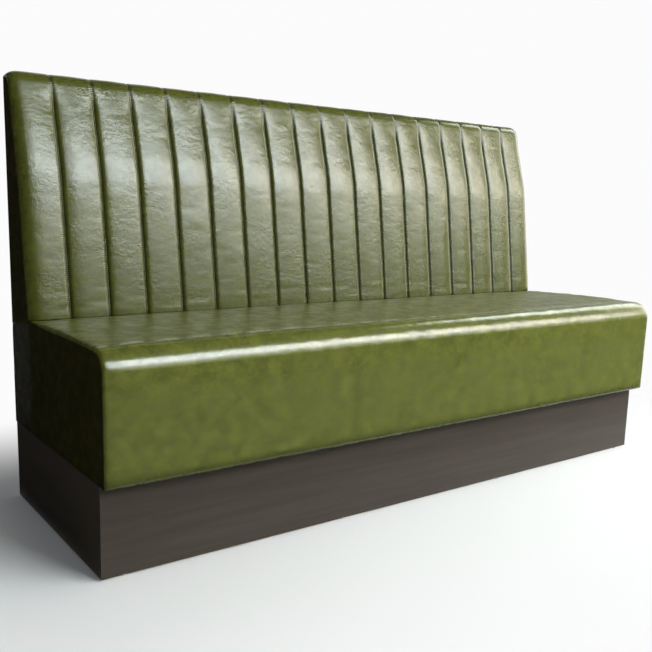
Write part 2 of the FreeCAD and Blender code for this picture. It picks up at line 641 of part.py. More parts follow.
def make_back_frame():
    """The bent board, gables, three rails and the formers that are notched over the rails."""
    inner_half = FRAME_HALF - BACK_GABLE
    outline = back_outline(FRAME_INSET, 0.0, FRAME_REAR)
    envelope = plate(outline, -inner_half, inner_half)
    low_front = crossing(shifted(FRONT_LINE, FRAME_INSET), FOOT_LINE)
    high_front = crossing(shifted(FRONT_LINE, FRAME_INSET), shifted(FOOT_LINE, BACK_RAIL))
    high_rear = crossing(upright(FRAME_REAR), shifted(FOOT_LINE, BACK_RAIL))
    low_rear = crossing(upright(FRAME_REAR), FOOT_LINE)
    bottom_rail = plate(polygon([low_front, high_front, high_rear, low_rear]), -inner_half, inner_half)
    top = HEIGHT - FRAME_INSET
    top_depths = (FRAME_REAR - TOP_RAIL, FRAME_REAR)
    top_rail = box((-inner_half, inner_half), top_depths, (top - TOP_RAIL_HEIGHT, top)).common(envelope)
    face_length = math.hypot(BEND_POINT[0] - FOOT_Y, BEND_Z - FOOT_Z)
    rail_foot = -MIDDLE_RAIL_SHARE * face_length
    middle_rail = rail_behind_board(rail_foot, rail_foot - MIDDLE_RAIL_HEIGHT, MIDDLE_RAIL, inner_half)
    middle_rail = middle_rail.common(envelope)
    nodes = {
        "back_board": make_back_board(),
        "back_left_gable": plate(outline, -FRAME_HALF, -inner_half),
        "back_right_gable": plate(outline, inner_half, FRAME_HALF),
        "back_bottom_rail": bottom_rail,
        "back_middle_rail": middle_rail,
        "back_top_rail": top_rail,
    }
    for number, share in enumerate(RIB_PLACE_SHARES, 1):
        x = share * HALF
        former = plate(outline, x - BACK_GABLE / 2, x + BACK_GABLE / 2)
        nodes["back_former_%d" % number] = former.cut(bottom_rail).cut(middle_rail).cut(top_rail)
    return nodes


def make_back_end_cover(side):
    """The plain end panel of the back, folded onto the rear."""
    x_range = sorted((side * HALF, side * (HALF - COVER)))
    panel = plate(back_outline(END_DROP + SOFT_CLEARANCE, SOFT_CLEARANCE, COVER_REAR), *x_range)
    rear_foot = crossing(upright(COVER_REAR), FOOT_LINE)[1] + SOFT_CLEARANCE
    flap_x = sorted((side * (HALF - COVER_FLAP), side * (HALF - COVER)))
    flap = box(flap_x, (FRAME_REAR, COVER_REAR), (rear_foot, HEIGHT - REAR_FLAP_HEIGHT))
    return panel.fuse(flap)


def make_back_soft_parts():
    """Flute foams, fluted cover, wadding, end covers and rear panel."""
    outer = FRAME_HALF + WADDING
    wadding = back_outline(BOARD_INSET, 0.0, FRAME_REAR)
    panel_half = HALF - REAR_PANEL_MARGIN
    panel_low = crossing(upright(REAR), FOOT_LINE)[1] + REAR_PANEL_MARGIN
    panel_high = HEIGHT - END_DROP - REAR_PANEL_MARGIN
    return {
        "flute_foams": make_flute_foams(),
        "fluted_cover": make_fluted_cover(),
        "back_left_wadding": plate(wadding, -outer, -FRAME_HALF),
        "back_right_wadding": plate(wadding, FRAME_HALF, outer),
        "back_left_end_cover": make_back_end_cover(-1),
        "back_right_end_cover": make_back_end_cover(1),
        "back_rear_panel": box((-panel_half, panel_half), (COVER_REAR, REAR), (panel_low, panel_high)),
    }


def along_foot(x, distance, height):
    """A point over the back's foot: a distance in from the face and a height square to the foot."""
    start = FreeCAD.Vector(x, FOOT_Y, FOOT_Z)
    inward = FreeCAD.Vector(0, math.cos(RAKE), -math.sin(RAKE))
    return start + inward * distance + FreeCAD.Vector(0, math.sin(RAKE), math.cos(RAKE)) * height


def fit_back_bolts(nodes):
    """Bolts through the back's bottom rail into sleeve nuts in the ledge, with their holes."""
    upward = FreeCAD.Vector(0, math.sin(RAKE), math.cos(RAKE))
    middle = (FRAME_INSET + FRAME_REAR - FOOT_Y) / 2
    radius = BOLT_DIAMETER / 2
    bolts = []
    sleeves = []
    for share in BOLT_PLACE_SHARES:
        x = share * HALF
        head_base = along_foot(x, middle, BACK_RAIL)
        head = hexagon(head_base, upward, BOLT_HEAD_WIDTH, BOLT_HEAD_HEIGHT)
        shank = rod(radius, along_foot(x, middle, -BOLT_REACH), upward, BACK_RAIL + BOLT_REACH)
        bolts.append(head.fuse(shank))
        sleeve_foot = along_foot(x, middle, -SLEEVE_LENGTH)
        sleeve = rod(SLEEVE_DIAMETER / 2, sleeve_foot, upward, SLEEVE_LENGTH)
        bore = rod(radius + BOLT_CLEARANCE, along_foot(x, middle, -SLEEVE_LENGTH - OVERRUN), upward,
                   SLEEVE_LENGTH + BACK_RAIL + 2 * OVERRUN)
        nodes["seat_back_ledge"] = nodes["seat_back_ledge"].cut(sleeve)
        nodes["back_bottom_rail"] = nodes["back_bottom_rail"].cut(bore)
        sleeves.append(sleeve.cut(bore))
    nodes["back_bolts"] = Part.makeCompound(bolts)
    nodes["back_sleeve_nuts"] = Part.makeCompound(sleeves)


def hexagon(base, direction, width, height):
    """A hexagonal bolt head, width across its flats."""
    outline = Part.makePolygon([
        FreeCAD.Vector(math.cos(turn), math.sin(turn), 0) * (width / math.sqrt(3))
        for turn in (math.radians(60 * corner) for corner in range(7))
    ])
    head = Part.Face(outline).extrude(FreeCAD.Vector(0, 0, height))
    head.Placement = FreeCAD.Placement(base, FreeCAD.Rotation(FreeCAD.Vector(0, 0, 1), direction))
    return head


def fit_plinth_fastenings(nodes):
    """Glides, nails and screws, with the holes they need."""
    nails = [make_nail(x, y) for x, y in glide_places()]
    screws = [make_screw(x, y) for x, y in screw_places()]
    nodes["floor_glides"] = Part.makeCompound([make_glide(x, y) for x, y in glide_places()])
    nodes["glide_nails"] = Part.makeCompound(nails)
    nodes["plinth_screws"] = Part.makeCompound(screws)
    for name in ("plinth_front_board", "plinth_rear_board"):
        nodes[name] = nodes[name].cut(nails)
    bearers = ["plinth_bearer_%d" % number for number in range(1, len(BEARER_PLACE_SHARES) + 1)]
    for name in bearers + ["seat_front_rail", "seat_rear_rail"]:
        nodes[name] = nodes[name].cut(screws)


def build():
    """Every node of the bench by name."""
    nodes = {}
    nodes.update(make_plinth_boards())
    nodes.update(make_plinth_facings())
    nodes.update(make_seat_frame())
    nodes.update(make_seat_soft_parts())
    nodes.update(make_back_frame())
    nodes.update(make_back_soft_parts())
    fit_back_bolts(nodes)
    fit_plinth_fastenings(nodes)
    return nodes


os.makedirs("parts", exist_ok=True)
for node_name, shape in build().items():
    shape.exportStep(os.path.join("parts", node_name + ".step"))
    facts = (node_name, len(shape.Solids), shape.Volume, shape.isValid())
    print("%-24s %3d solids %12.1f mm3 valid %s" % facts)
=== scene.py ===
"""The looks of a straight restaurant booth bench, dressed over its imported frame.

A fluted back and a padded seat in glossy, crinkled olive leatherette stand on a recessed plinth of
dark laminate. Everything is in metres, with +Z up, the front at -Y and the floor at Z = 0.
"""

import sys
import logging
import math
from dataclasses import dataclass, field
from enum import Enum

import bmesh
import bpy
import numpy as np
from mathutils import Matrix, Vector


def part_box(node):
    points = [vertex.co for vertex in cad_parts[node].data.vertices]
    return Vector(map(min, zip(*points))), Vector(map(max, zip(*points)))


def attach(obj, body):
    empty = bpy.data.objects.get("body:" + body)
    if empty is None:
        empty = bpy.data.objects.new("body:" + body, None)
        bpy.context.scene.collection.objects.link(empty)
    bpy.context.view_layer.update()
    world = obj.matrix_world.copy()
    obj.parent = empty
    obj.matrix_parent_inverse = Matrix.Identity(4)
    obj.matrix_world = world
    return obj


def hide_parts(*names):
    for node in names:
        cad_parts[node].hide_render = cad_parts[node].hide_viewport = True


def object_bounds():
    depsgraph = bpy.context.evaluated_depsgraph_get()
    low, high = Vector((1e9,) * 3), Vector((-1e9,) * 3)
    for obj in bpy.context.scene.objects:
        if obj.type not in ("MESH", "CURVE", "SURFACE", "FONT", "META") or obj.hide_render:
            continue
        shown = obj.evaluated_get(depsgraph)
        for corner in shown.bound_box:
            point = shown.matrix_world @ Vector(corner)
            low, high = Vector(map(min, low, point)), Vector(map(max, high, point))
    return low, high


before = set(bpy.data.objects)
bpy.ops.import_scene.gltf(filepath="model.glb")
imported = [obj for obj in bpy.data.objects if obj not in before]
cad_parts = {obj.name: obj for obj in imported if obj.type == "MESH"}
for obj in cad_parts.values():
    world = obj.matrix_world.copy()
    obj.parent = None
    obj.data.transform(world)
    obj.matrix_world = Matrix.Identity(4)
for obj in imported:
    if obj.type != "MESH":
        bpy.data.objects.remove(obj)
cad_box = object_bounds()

Colour = tuple[float, float, float]
Point = tuple[float, float]
Place = tuple[float, float, float]
Span = tuple[float, float]
Material = bpy.types.Material
Piece = bpy.types.Object
Socket = bpy.types.NodeSocket

LOG = logging.getLogger("booth")
BODY = "root"
MILLIMETRES = 1000
FULL_TURN = 2 * math.pi
QUARTER_TURN = math.pi / 2
TINY = 1e-9
NOISE_LATTICE = 256
MIX_COLOURS = (6, 7)
MIX_RESULT = 2
MIDDLE_SPAN: Span = (0.3, 0.7)
STITCH_PITCH = 0.0046


class Side(Enum):
    """The two ends of the bench, as seen from the front."""

    LEFT = -1
    RIGHT = 1


class Slot(Enum):
    """The record's material slots that new pieces take their finish from."""

    FLUTES = "fluted_leatherette"
    SEAT = "seat_leatherette"
    ENDS = "end_leatherette"
    STEEL = "zinc_steel"


class Use(Enum):
    """What a lamp is for: lighting surfaces, or showing in their gloss."""

    LIGHT = "light"
    GLOSS = "gloss"


# Small tools for node trees, paths and meshes


class NodeSketch:
    """A short way to add nodes to a tree and to link them."""

    def __init__(self, tree: bpy.types.NodeTree) -> None:
        """Keeps the tree that nodes are added to."""
        self.tree = tree

    def fill(self, node: bpy.types.Node, inputs: dict) -> None:
        """Sets or links a node's inputs.

        Args:
            node: The node.
            inputs: Values or output sockets, by the input's name or number.
        """
        for key, value in inputs.items():
            if isinstance(value, Socket):
                self.tree.links.new(value, node.inputs[key])
            else:
                node.inputs[key].default_value = value

    def add(self, kind: str, inputs: dict | None = None, **settings: object) -> bpy.types.Node:
        """Adds a node.

        Args:
            kind: The node's type.
            inputs: Values or output sockets, by the input's name or number.
            settings: Properties of the node itself.

        Returns:
            The new node.
        """
        node = self.tree.nodes.new(kind)
        for key, value in settings.items():
            setattr(node, key, value)
        self.fill(node, inputs or {})
        return node

    def place(self) -> Socket:
        """Adds the piece's Object coordinates."""
        return self.add("ShaderNodeTexCoord").outputs["Object"]

    def attribute(self, name: str) -> Socket:
        """Adds a number that the mesh holds at each vertex."""
        return self.add("ShaderNodeAttribute", attribute_name=name).outputs["Fac"]

    def math(self, operation: str, first: object, second: object = 0.0) -> Socket:
        """Adds a sum of two values and returns its result."""
        return self.add("ShaderNodeMath", {0: first, 1: second}, operation=operation).outputs[0]

    def vector(self, operation: str, *values: object) -> Socket:
        """Adds a sum of vectors and returns its result."""
        return self.add("ShaderNodeVectorMath", dict(enumerate(values)), operation=operation).outputs[0]

    def noise(self, place: Socket, scale: float, detail: float = 2.0, roughness: float = 0.5) -> Socket:
        """Adds a cloudy pattern and returns its height, from 0 to 1."""
        inputs = {"Vector": place, "Scale": scale, "Detail": detail, "Roughness": roughness}
        return self.add("ShaderNodeTexNoise", inputs).outputs[0]

    def blend(self, share: object, first: object, second: object) -> Socket:
        """Mixes two colours.

        Args:
            share: The share of the second colour.
            first: A colour or an output socket.
            second: A colour or an output socket.

        Returns:
            The mixed colour.
        """
        node = self.add("ShaderNodeMix", {"Factor": share}, data_type="RGBA")
        for number, value in zip(MIX_COLOURS, (first, second)):
            self.fill(node, {number: (*value, 1.0) if isinstance(value, tuple) else value})
        return node.outputs[MIX_RESULT]

    def ramp(self, value: object, span: Span, results: Span = (0.0, 1.0)) -> Socket:
        """Maps a value smoothly.

        Args:
            value: The value to map.
            span: The two values between which the result changes.
            results: What the result is at and beyond each of them.

        Returns:
            The mapped value.
        """
        inputs = {"Value": value, "From Min": span[0], "From Max": span[1]}
        inputs |= {"To Min": results[0], "To Max": results[1]}
        return self.add("ShaderNodeMapRange", inputs, interpolation_type="SMOOTHSTEP").outputs[0]

    def bump(self, height: Socket, strength: float, depth: float, normal: Socket | None = None) -> Socket:
        """Raises a surface by a height.

        Args:
            height: The height, from 0 to 1.
            strength: The share of the effect that shows.
            depth: The depth in metres that a height of 1 stands for.
            normal: The surface below it, if that is raised already.

        Returns:
            The normal of the raised surface.
        """
        inputs = {"Height": height, "Strength": strength, "Distance": depth}
        if normal is not None:
            inputs["Normal"] = normal
        return self.add("ShaderNodeBump", inputs).outputs[0]

    def seen_rays(self) -> Socket:
        """Tells the rays that show the backdrop from the rest.

        Returns:
            One for rays seen directly, in gloss or through glass, and zero for the rest.
        """
        rays = self.add("ShaderNodeLightPath").outputs
        seen = self.math("MAXIMUM", rays["Is Camera Ray"], rays["Is Glossy Ray"])
        return self.math("MAXIMUM", seen, rays["Is Transmission Ray"])


def new_material(name: str) -> tuple[Material, NodeSketch, bpy.types.Node]:
    """Makes an empty material.

    Args:
        name: The material's name.

    Returns:
        The material, a sketch of its tree and its linked Principled shader.
    """
    material = bpy.data.materials.new(name)
    material.use_nodes = True
    material.node_tree.nodes.clear()
    sketch = NodeSketch(material.node_tree)
    shader = sketch.add("ShaderNodeBsdfPrincipled")
    sketch.add("ShaderNodeOutputMaterial", {"Surface": shader.outputs[0]})
    return material, sketch, shader


def darker(colour: Colour, share: float) -> Colour:
    """Keeps a share of a colour's light."""
    return tuple(channel * share for channel in colour)


def eased(share: np.ndarray) -> np.ndarray:
    """Eases shares from 0 to 1 in and out."""
    return share * share * (3 - 2 * share)


def smooth_noise(u: np.ndarray, v: np.ndarray, seed: int) -> np.ndarray:
    """Noise from -1 to 1 with features about one unit wide.

    Args:
        u: First coordinates.
        v: Second coordinates, of a shape that goes with the first.
        seed: Chooses the pattern.

    Returns:
        The noise at each place.
    """
    lattice = np.random.default_rng(seed).uniform(-1.0, 1.0, (NOISE_LATTICE, NOISE_LATTICE))
    u0, v0 = np.floor(u).astype(int), np.floor(v).astype(int)
    fu, fv = eased(u - u0), eased(v - v0)
    steps = [(i, j) for i in (0, 1) for j in (0, 1)]
    corner = [lattice[(u0 + i) % NOISE_LATTICE, (v0 + j) % NOISE_LATTICE] for i, j in steps]
    near = corner[0] * (1 - fu) + corner[2] * fu
    far = corner[1] * (1 - fu) + corner[3] * fu
    return near * (1 - fv) + far * fv


@dataclass(frozen=True)
class Waves:
    """Soft, uneven waves in a stretched cover, given by their height and spacings."""

    height: float
    length: float
    width: float
    seed: int
    start: Point = (0.0, 0.0)
    lean: float = 0.0

    def at(self, along: np.ndarray, across: np.ndarray) -> np.ndarray:
        """Works out the waves.

        Args:
            along: Places along the cover.
            across: Places across it, or the number of each strip whose waves are its own.

        Returns:
            How far the cover stands off at each place.
        """
        u = along / self.length + self.start[0] + self.lean * across
        v = across / self.width + self.start[1] + 0 * along
        return self.height * smooth_noise(u, v, self.seed)


def rounded_path(
    corners: list[Point], radii: list[float], step: float, bend_step: float
) -> tuple[np.ndarray, np.ndarray]:
    """Samples a path of straight runs joined by tangent arcs.

    Args:
        corners: The path's corners, first and last point included.
        radii: The radius at each inner corner.
        step: The spacing on straight runs.
        bend_step: The greatest turn between samples on an arc, in radians.

    Returns:
        The points, and at each the unit direction to the right of the heading.
    """
    points: list[Point] = []
    rights: list[Point] = []

    def put(y: float, z: float, heading: float) -> None:
        """Adds one sample."""
        points.append((y, z))
        rights.append((math.sin(heading), -math.cos(heading)))

    def run(start: Point, end: Point, heading: float) -> None:
        """Adds a straight run without its last point.

        Args:
            start: Its first point.
            end: Its last point.
            heading: Its direction, in radians.
        """
        count = max(1, round(math.dist(start, end) / step))
        for index in range(count):
            share = index / count
            put(start[0] + share * (end[0] - start[0]), start[1] + share * (end[1] - start[1]), heading)

    start = corners[0]
    for corner, after, radius in zip(corners[1:], corners[2:], radii):
        heading = math.atan2(corner[1] - start[1], corner[0] - start[0])
        turn = math.remainder(math.atan2(after[1] - corner[1], after[0] - corner[0]) - heading, FULL_TURN)
        reach = radius * math.tan(abs(turn) / 2)
        first = (corner[0] - reach * math.cos(heading), corner[1] - reach * math.sin(heading))
        run(start, first, heading)
        bend = math.copysign(radius, turn)
        centre = (first[0] - bend * math.sin(heading), first[1] + bend * math.cos(heading))
        count = max(2, math.ceil(radius * abs(turn) / step), math.ceil(abs(turn) / bend_step))
        for index in range(count):
            angle = heading + turn * index / count
            put(centre[0] + bend * math.sin(angle), centre[1] - bend * math.cos(angle), angle)
        start = (centre[0] + bend * math.sin(heading + turn), centre[1] - bend * math.cos(heading + turn))
    heading = math.atan2(corners[-1][1] - start[1], corners[-1][0] - start[0])
    run(start, corners[-1], heading)
    put(*corners[-1], heading)
    return np.array(points), np.array(rights)


def grid_faces(rows: int, columns: int, loop: bool = False) -> list[tuple[int, int, int, int]]:
    """The quads of a grid of points, stored row by row.

    Args:
        rows: The number of rows.
        columns: The number of columns.
        loop: Whether the last row joins the first.

    Returns:
        The corners of each quad.
    """
    count = rows if loop else rows - 1
    row, column = np.arange(count)[:, None], np.arange(columns - 1)[None, :]
    low = (row * columns + column).ravel()
    high = ((row + 1) % rows * columns + column).ravel()
    return np.stack([low, low + 1, high + 1, high], axis=1).tolist()


def mesh_object(name: str, points: np.ndarray, faces: list, material: Material) -> Piece:
    """Makes a smooth-shaded mesh object at the origin.

    Args:
        name: The object's name.
        points: The vertices, in metres.
        faces: The corners of each face.
        material: The finish of every face.

    Returns:
        The linked object.
    """
    mesh = bpy.data.meshes.new(name)
    mesh.from_pydata(points.reshape(-1, 3).tolist(), [], faces)
    mesh.shade_smooth()
    mesh.materials.append(material)
    made = bpy.data.objects.new(name, mesh)
    bpy.context.scene.collection.objects.link(made)
    return made


def point_attribute(made: Piece, name: str, values: np.ndarray) -> None:
    """Stores one number at each vertex, for the material to read."""
    layer = made.data.attributes.new(name, "FLOAT", "POINT")
    layer.data.foreach_set("value", np.asarray(values, np.float32).ravel())


def closed_loop_object(name: str, points: np.ndarray, material: Material) -> Piece:
    """Makes a closed piece from a grid whose rows run round it and whose ends are capped.

    Args:
        name: The object's name.
        points: The grid of points, with a row for each place round the piece.
        material: The finish.

    Returns:
        The linked object.
    """
    rows, columns = points.shape[:2]
    faces = grid_faces(rows, columns, loop=True)
    faces.append([row * columns for row in range(rows)])
    faces.append([row * columns + columns - 1 for row in reversed(range(rows))])
    return mesh_object(name, points, faces, material)


def slab_object(name: str, front: np.ndarray, offset: Vector, material: Material) -> Piece:
    """Makes a closed sheet from a grid of points and the same grid set back.

    Args:
        name: The object's name.
        front: The grid of points of the visible side.
        offset: The way from the visible side to the hidden one.
        material: The finish.

    Returns:
        The linked object.
    """
    rows, columns = front.shape[:2]
    back = front + np.array(offset)
    size = rows * columns
    faces = grid_faces(rows, columns)
    faces += [[size + corner for corner in reversed(face)] for face in grid_faces(rows, columns)]
    rim = list(range(columns))
    rim += [row * columns + columns - 1 for row in range(1, rows)]
    rim += [(rows - 1) * columns + column for column in reversed(range(columns - 1))]
    rim += [row * columns for row in reversed(range(1, rows - 1))]
    for first, second in zip(rim, rim[1:] + rim[:1]):
        faces.append([second, first, size + first, size + second])
    return mesh_object(name, np.concatenate([front.reshape(-1, 3), back.reshape(-1, 3)]), faces, material)


def outward(made: Piece) -> None:
    """Turns a closed piece's faces outwards.

    Args:
        made: The piece.
    """
    shape = bmesh.new()
    shape.from_mesh(made.data)
    bmesh.ops.recalc_face_normals(shape, faces=shape.faces)
    shape.to_mesh(made.data)
    shape.free()


def path_lengths(points: np.ndarray) -> np.ndarray:
    """The way along a path from its first point to each point."""
    return np.concatenate([[0.0], np.cumsum(np.linalg.norm(np.diff(points, axis=0), axis=1))])


# Finishes


@dataclass(frozen=True)
class SeamPricksAndShade:
    """Stitch pricks beside a cover's seams, with painted shade in the seams and a painted contact shadow at
    its foot.
    """

    pitch: float = STITCH_PITCH
    prick_span: Span = (0.004, 0.015)
    prick_depth: float = 0.00028
    prick_strength: float = 0.5
    seam_span: Span = (0.0, 0.009)
    seam_light: float = 0.30
    foot_span: Span = (0.0, 0.008)
    foot_light: float = 0.25
    dark_share: float = 0.25

    def prick(self, sketch: NodeSketch, normal: Socket) -> Socket:
        """Raises the cover between its stitches.

        Args:
            sketch: The material's tree.
            normal: The surface without the pricks.

        Returns:
            The surface with them.
        """
        close = sketch.ramp(sketch.attribute("seam_distance"), self.prick_span, (1.0, 0.0))
        turn = sketch.math("MULTIPLY", sketch.attribute("path_length"), FULL_TURN / self.pitch)
        pricked = sketch.math("MULTIPLY", sketch.math("SINE", turn), close)
        return sketch.bump(pricked, self.prick_strength, self.prick_depth, normal)

    def shade(self, sketch: NodeSketch, colour: Socket, deep: Colour) -> Socket:
        """Paints shade into the seams and a contact shadow along the foot.

        Args:
            sketch: The material's tree.
            colour: The plain colour.
            deep: The colour of its folds.

        Returns:
            The shaded colour.
        """
        seam = sketch.ramp(sketch.attribute("seam_distance"), self.seam_span, (self.seam_light, 1.0))
        foot = sketch.ramp(sketch.attribute("path_length"), self.foot_span, (self.foot_light, 1.0))
        return sketch.blend(sketch.math("MULTIPLY", seam, foot), darker(deep, self.dark_share), colour)


@dataclass(frozen=True)
class WearAndPaintedShade:
    """Use and painted shade on the seat's cover: use polishes the nose, and painted shade darkens the turn
    under the border.
    """

    roughness: float = 0.20
    painted_shade_share: float = 0.8
    dark_share: float = 0.6

    def polish(self, sketch: NodeSketch, gloss: Socket, roughness: float) -> Socket:
        """Brings the roughness down to the polished one where the cover is worn."""
        worn = sketch.math("MULTIPLY", sketch.attribute("nose_shine"), self.roughness - roughness)
        return sketch.math("ADD", gloss, worn)

    def shade(self, sketch: NodeSketch, colour: Socket, deep: Colour) -> Socket:
        """Paints shade onto the turn under the border."""
        share = sketch.math("MULTIPLY", sketch.attribute("painted_under_shade"), self.painted_shade_share)
        return sketch.blend(share, colour, darker(deep, self.dark_share))


@dataclass(frozen=True)
class Leatherette:
    """Glossy leatherette with soft wrinkles in patches, fine crackle and deeper colour in the folds."""

    name: str
    colour: Colour
    deep: Colour
    roughness: float = 0.205
    gloss_change: float = 0.04
    specular: float = 0.235
    coat: float = 0.06
    coat_roughness: float = 0.20
    wrinkle_scale: Place = (84.0, 84.0, 104.0)
    wrinkle_roughness: float = 0.4
    wrinkle_depth: float = 0.00062
    wrinkle_strength: float = 0.8
    bend_scale: float = 17.0
    bend: Place = (1.8, 1.8, 3.2)
    vein_scale: float = 0.7
    vein_width: float = 0.07
    vein_depth: float = 0.16
    patch_scale: float = 9.0
    patch_detail: float = 1.5
    patch_span: Span = (0.40, 0.64)
    calm: float = 0.35
    crackle_scale: float = 150.0
    crackle_detail: float = 3.0
    crackle_roughness: float = 0.6
    crackle_depth: float = 0.00020
    crackle_strength: float = 0.6
    mottle_scale: float = 30.0
    mottle_detail: float = 5.0
    mottle_roughness: float = 0.74
    mottle_span: Span = (0.40, 0.62)
    fold_span: Span = (0.30, 0.62)
    fold_share: float = 0.45
    seams: SeamPricksAndShade | None = None
    wear_and_shade: WearAndPaintedShade | None = None

    def wrinkles(self, sketch: NodeSketch, place: Socket) -> Socket:
        """Draws the soft wrinkles and the veins between them.

        Args:
            sketch: The material's tree.
            place: The plain Object coordinates.

        Returns:
            Their height, about 0.5 on the flat.
        """
        drawn = sketch.add("ShaderNodeMapping", {"Vector": place, "Scale": self.wrinkle_scale}).outputs[0]
        turn = sketch.add("ShaderNodeTexNoise", {"Vector": place, "Scale": self.bend_scale}).outputs["Color"]
        crushed = sketch.vector("ADD", drawn, sketch.vector("MULTIPLY", turn, self.bend))
        waves = sketch.noise(crushed, 1.0, roughness=self.wrinkle_roughness)
        patch = sketch.noise(place, self.patch_scale, self.patch_detail)
        strength = sketch.ramp(patch, self.patch_span, (self.calm, 1.0))
        raised = sketch.math("MULTIPLY", sketch.math("SUBTRACT", waves, 0.5), strength)
        cells = {"Vector": crushed, "Scale": self.vein_scale}
        edge = sketch.add("ShaderNodeTexVoronoi", cells, feature="DISTANCE_TO_EDGE").outputs["Distance"]
        vein = sketch.math("MULTIPLY", sketch.ramp(edge, (0.0, self.vein_width), (1.0, 0.0)), strength)
        sunk = sketch.math("SUBTRACT", raised, sketch.math("MULTIPLY", vein, self.vein_depth))
        return sketch.math("ADD", sunk, 0.5)

    def material(self) -> Material:
        """Builds the finish.

        Returns:
            The material.
        """
        material, sketch, shader = new_material(self.name)
        place = sketch.place()
        soft = self.wrinkles(sketch, place)
        fine = sketch.noise(place, self.crackle_scale, self.crackle_detail, self.crackle_roughness)
        mottle = sketch.noise(place, self.mottle_scale, self.mottle_detail, self.mottle_roughness)
        cloud = sketch.ramp(mottle, self.mottle_span)
        folds = sketch.math("MULTIPLY", sketch.ramp(soft, self.fold_span), self.fold_share)
        share = sketch.math("ADD", folds, sketch.math("MULTIPLY", cloud, 1 - self.fold_share))
        colour = sketch.blend(share, self.deep, self.colour)
        normal = sketch.bump(fine, self.crackle_strength, self.crackle_depth)
        normal = sketch.bump(soft, self.wrinkle_strength, self.wrinkle_depth, normal)
        dull, bright = self.roughness + self.gloss_change, self.roughness - self.gloss_change
        gloss = sketch.ramp(cloud, (0.0, 1.0), (dull, bright))
        if self.seams is not None:
            normal = self.seams.prick(sketch, normal)
            # Painted shade in the seams and a painted contact shadow along the flutes' foot.
            colour = self.seams.shade(sketch, colour, self.deep)
        if self.wear_and_shade is not None:
            gloss = self.wear_and_shade.polish(sketch, gloss, self.roughness)
            # Painted shade on the turn under the seat's border.
            colour = self.wear_and_shade.shade(sketch, colour, self.deep)
        sketch.fill(shader, {
            "Base Color": colour, "Roughness": gloss, "Normal": normal, "Coat Normal": normal,
            "Specular IOR Level": self.specular, "Coat Weight": self.coat,
            "Coat Roughness": self.coat_roughness,
        })
        return material


@dataclass(frozen=True)
class Board:
    """A sheet or panel with streaks along its grain: laminate, hardboard or plywood."""

    name: str
    colour: Colour
    deep: Colour
    streak: Place
    roughness: float
    gloss_changes: Span = (-0.04, 0.06)
    specular: float = 0.4
    streak_detail: float = 6.0
    streak_roughness: float = 0.6
    speck_scale: float = 900.0
    speck_share: float = 0.5
    bump: float = 0.1
    bump_depth: float = 0.0005

    def material(self) -> Material:
        """Builds the finish.

        Returns:
            The material.
        """
        material, sketch, shader = new_material(self.name)
        place = sketch.place()
        drawn = sketch.add("ShaderNodeMapping", {"Vector": place, "Scale": self.streak}).outputs[0]
        streaks = sketch.noise(drawn, 1.0, self.streak_detail, self.streak_roughness)
        specks = sketch.noise(place, self.speck_scale)
        height = sketch.math("ADD", streaks, sketch.math("MULTIPLY", specks, self.speck_share))
        roughness = tuple(self.roughness + change for change in self.gloss_changes)
        sketch.fill(shader, {
            "Base Color": sketch.blend(sketch.ramp(streaks, MIDDLE_SPAN), self.deep, self.colour),
            "Roughness": sketch.ramp(specks, MIDDLE_SPAN, roughness),
            "Normal": sketch.bump(height, self.bump, self.bump_depth),
            "Specular IOR Level": self.specular,
        })
        return material


@dataclass(frozen=True)
class Plain:
    """A small hard or soft thing of one colour: nylon, zinc-plated steel, thread, foam or wadding."""

    name: str
    colour: Colour
    roughness: float
    gloss_change: float = 0.12
    metal: float = 0.0
    speck_scale: float = 800.0
    speck_detail: float = 3.0
    dark_share: float = 0.7
    bump: float = 0.2
    bump_depth: float = 0.0002

    def material(self) -> Material:
        """Builds the finish.

        Returns:
            The material.
        """
        material, sketch, shader = new_material(self.name)
        specks = sketch.noise(sketch.place(), self.speck_scale, self.speck_detail)
        dark = darker(self.colour, self.dark_share)
        roughness = (self.roughness, self.roughness + self.gloss_change)
        sketch.fill(shader, {
            "Base Color": sketch.blend(sketch.ramp(specks, MIDDLE_SPAN), dark, self.colour),
            "Roughness": sketch.ramp(specks, MIDDLE_SPAN, roughness),
            "Normal": sketch.bump(specks, self.bump, self.bump_depth),
            "Metallic": self.metal,
        })
        return material


# Geometry node trees


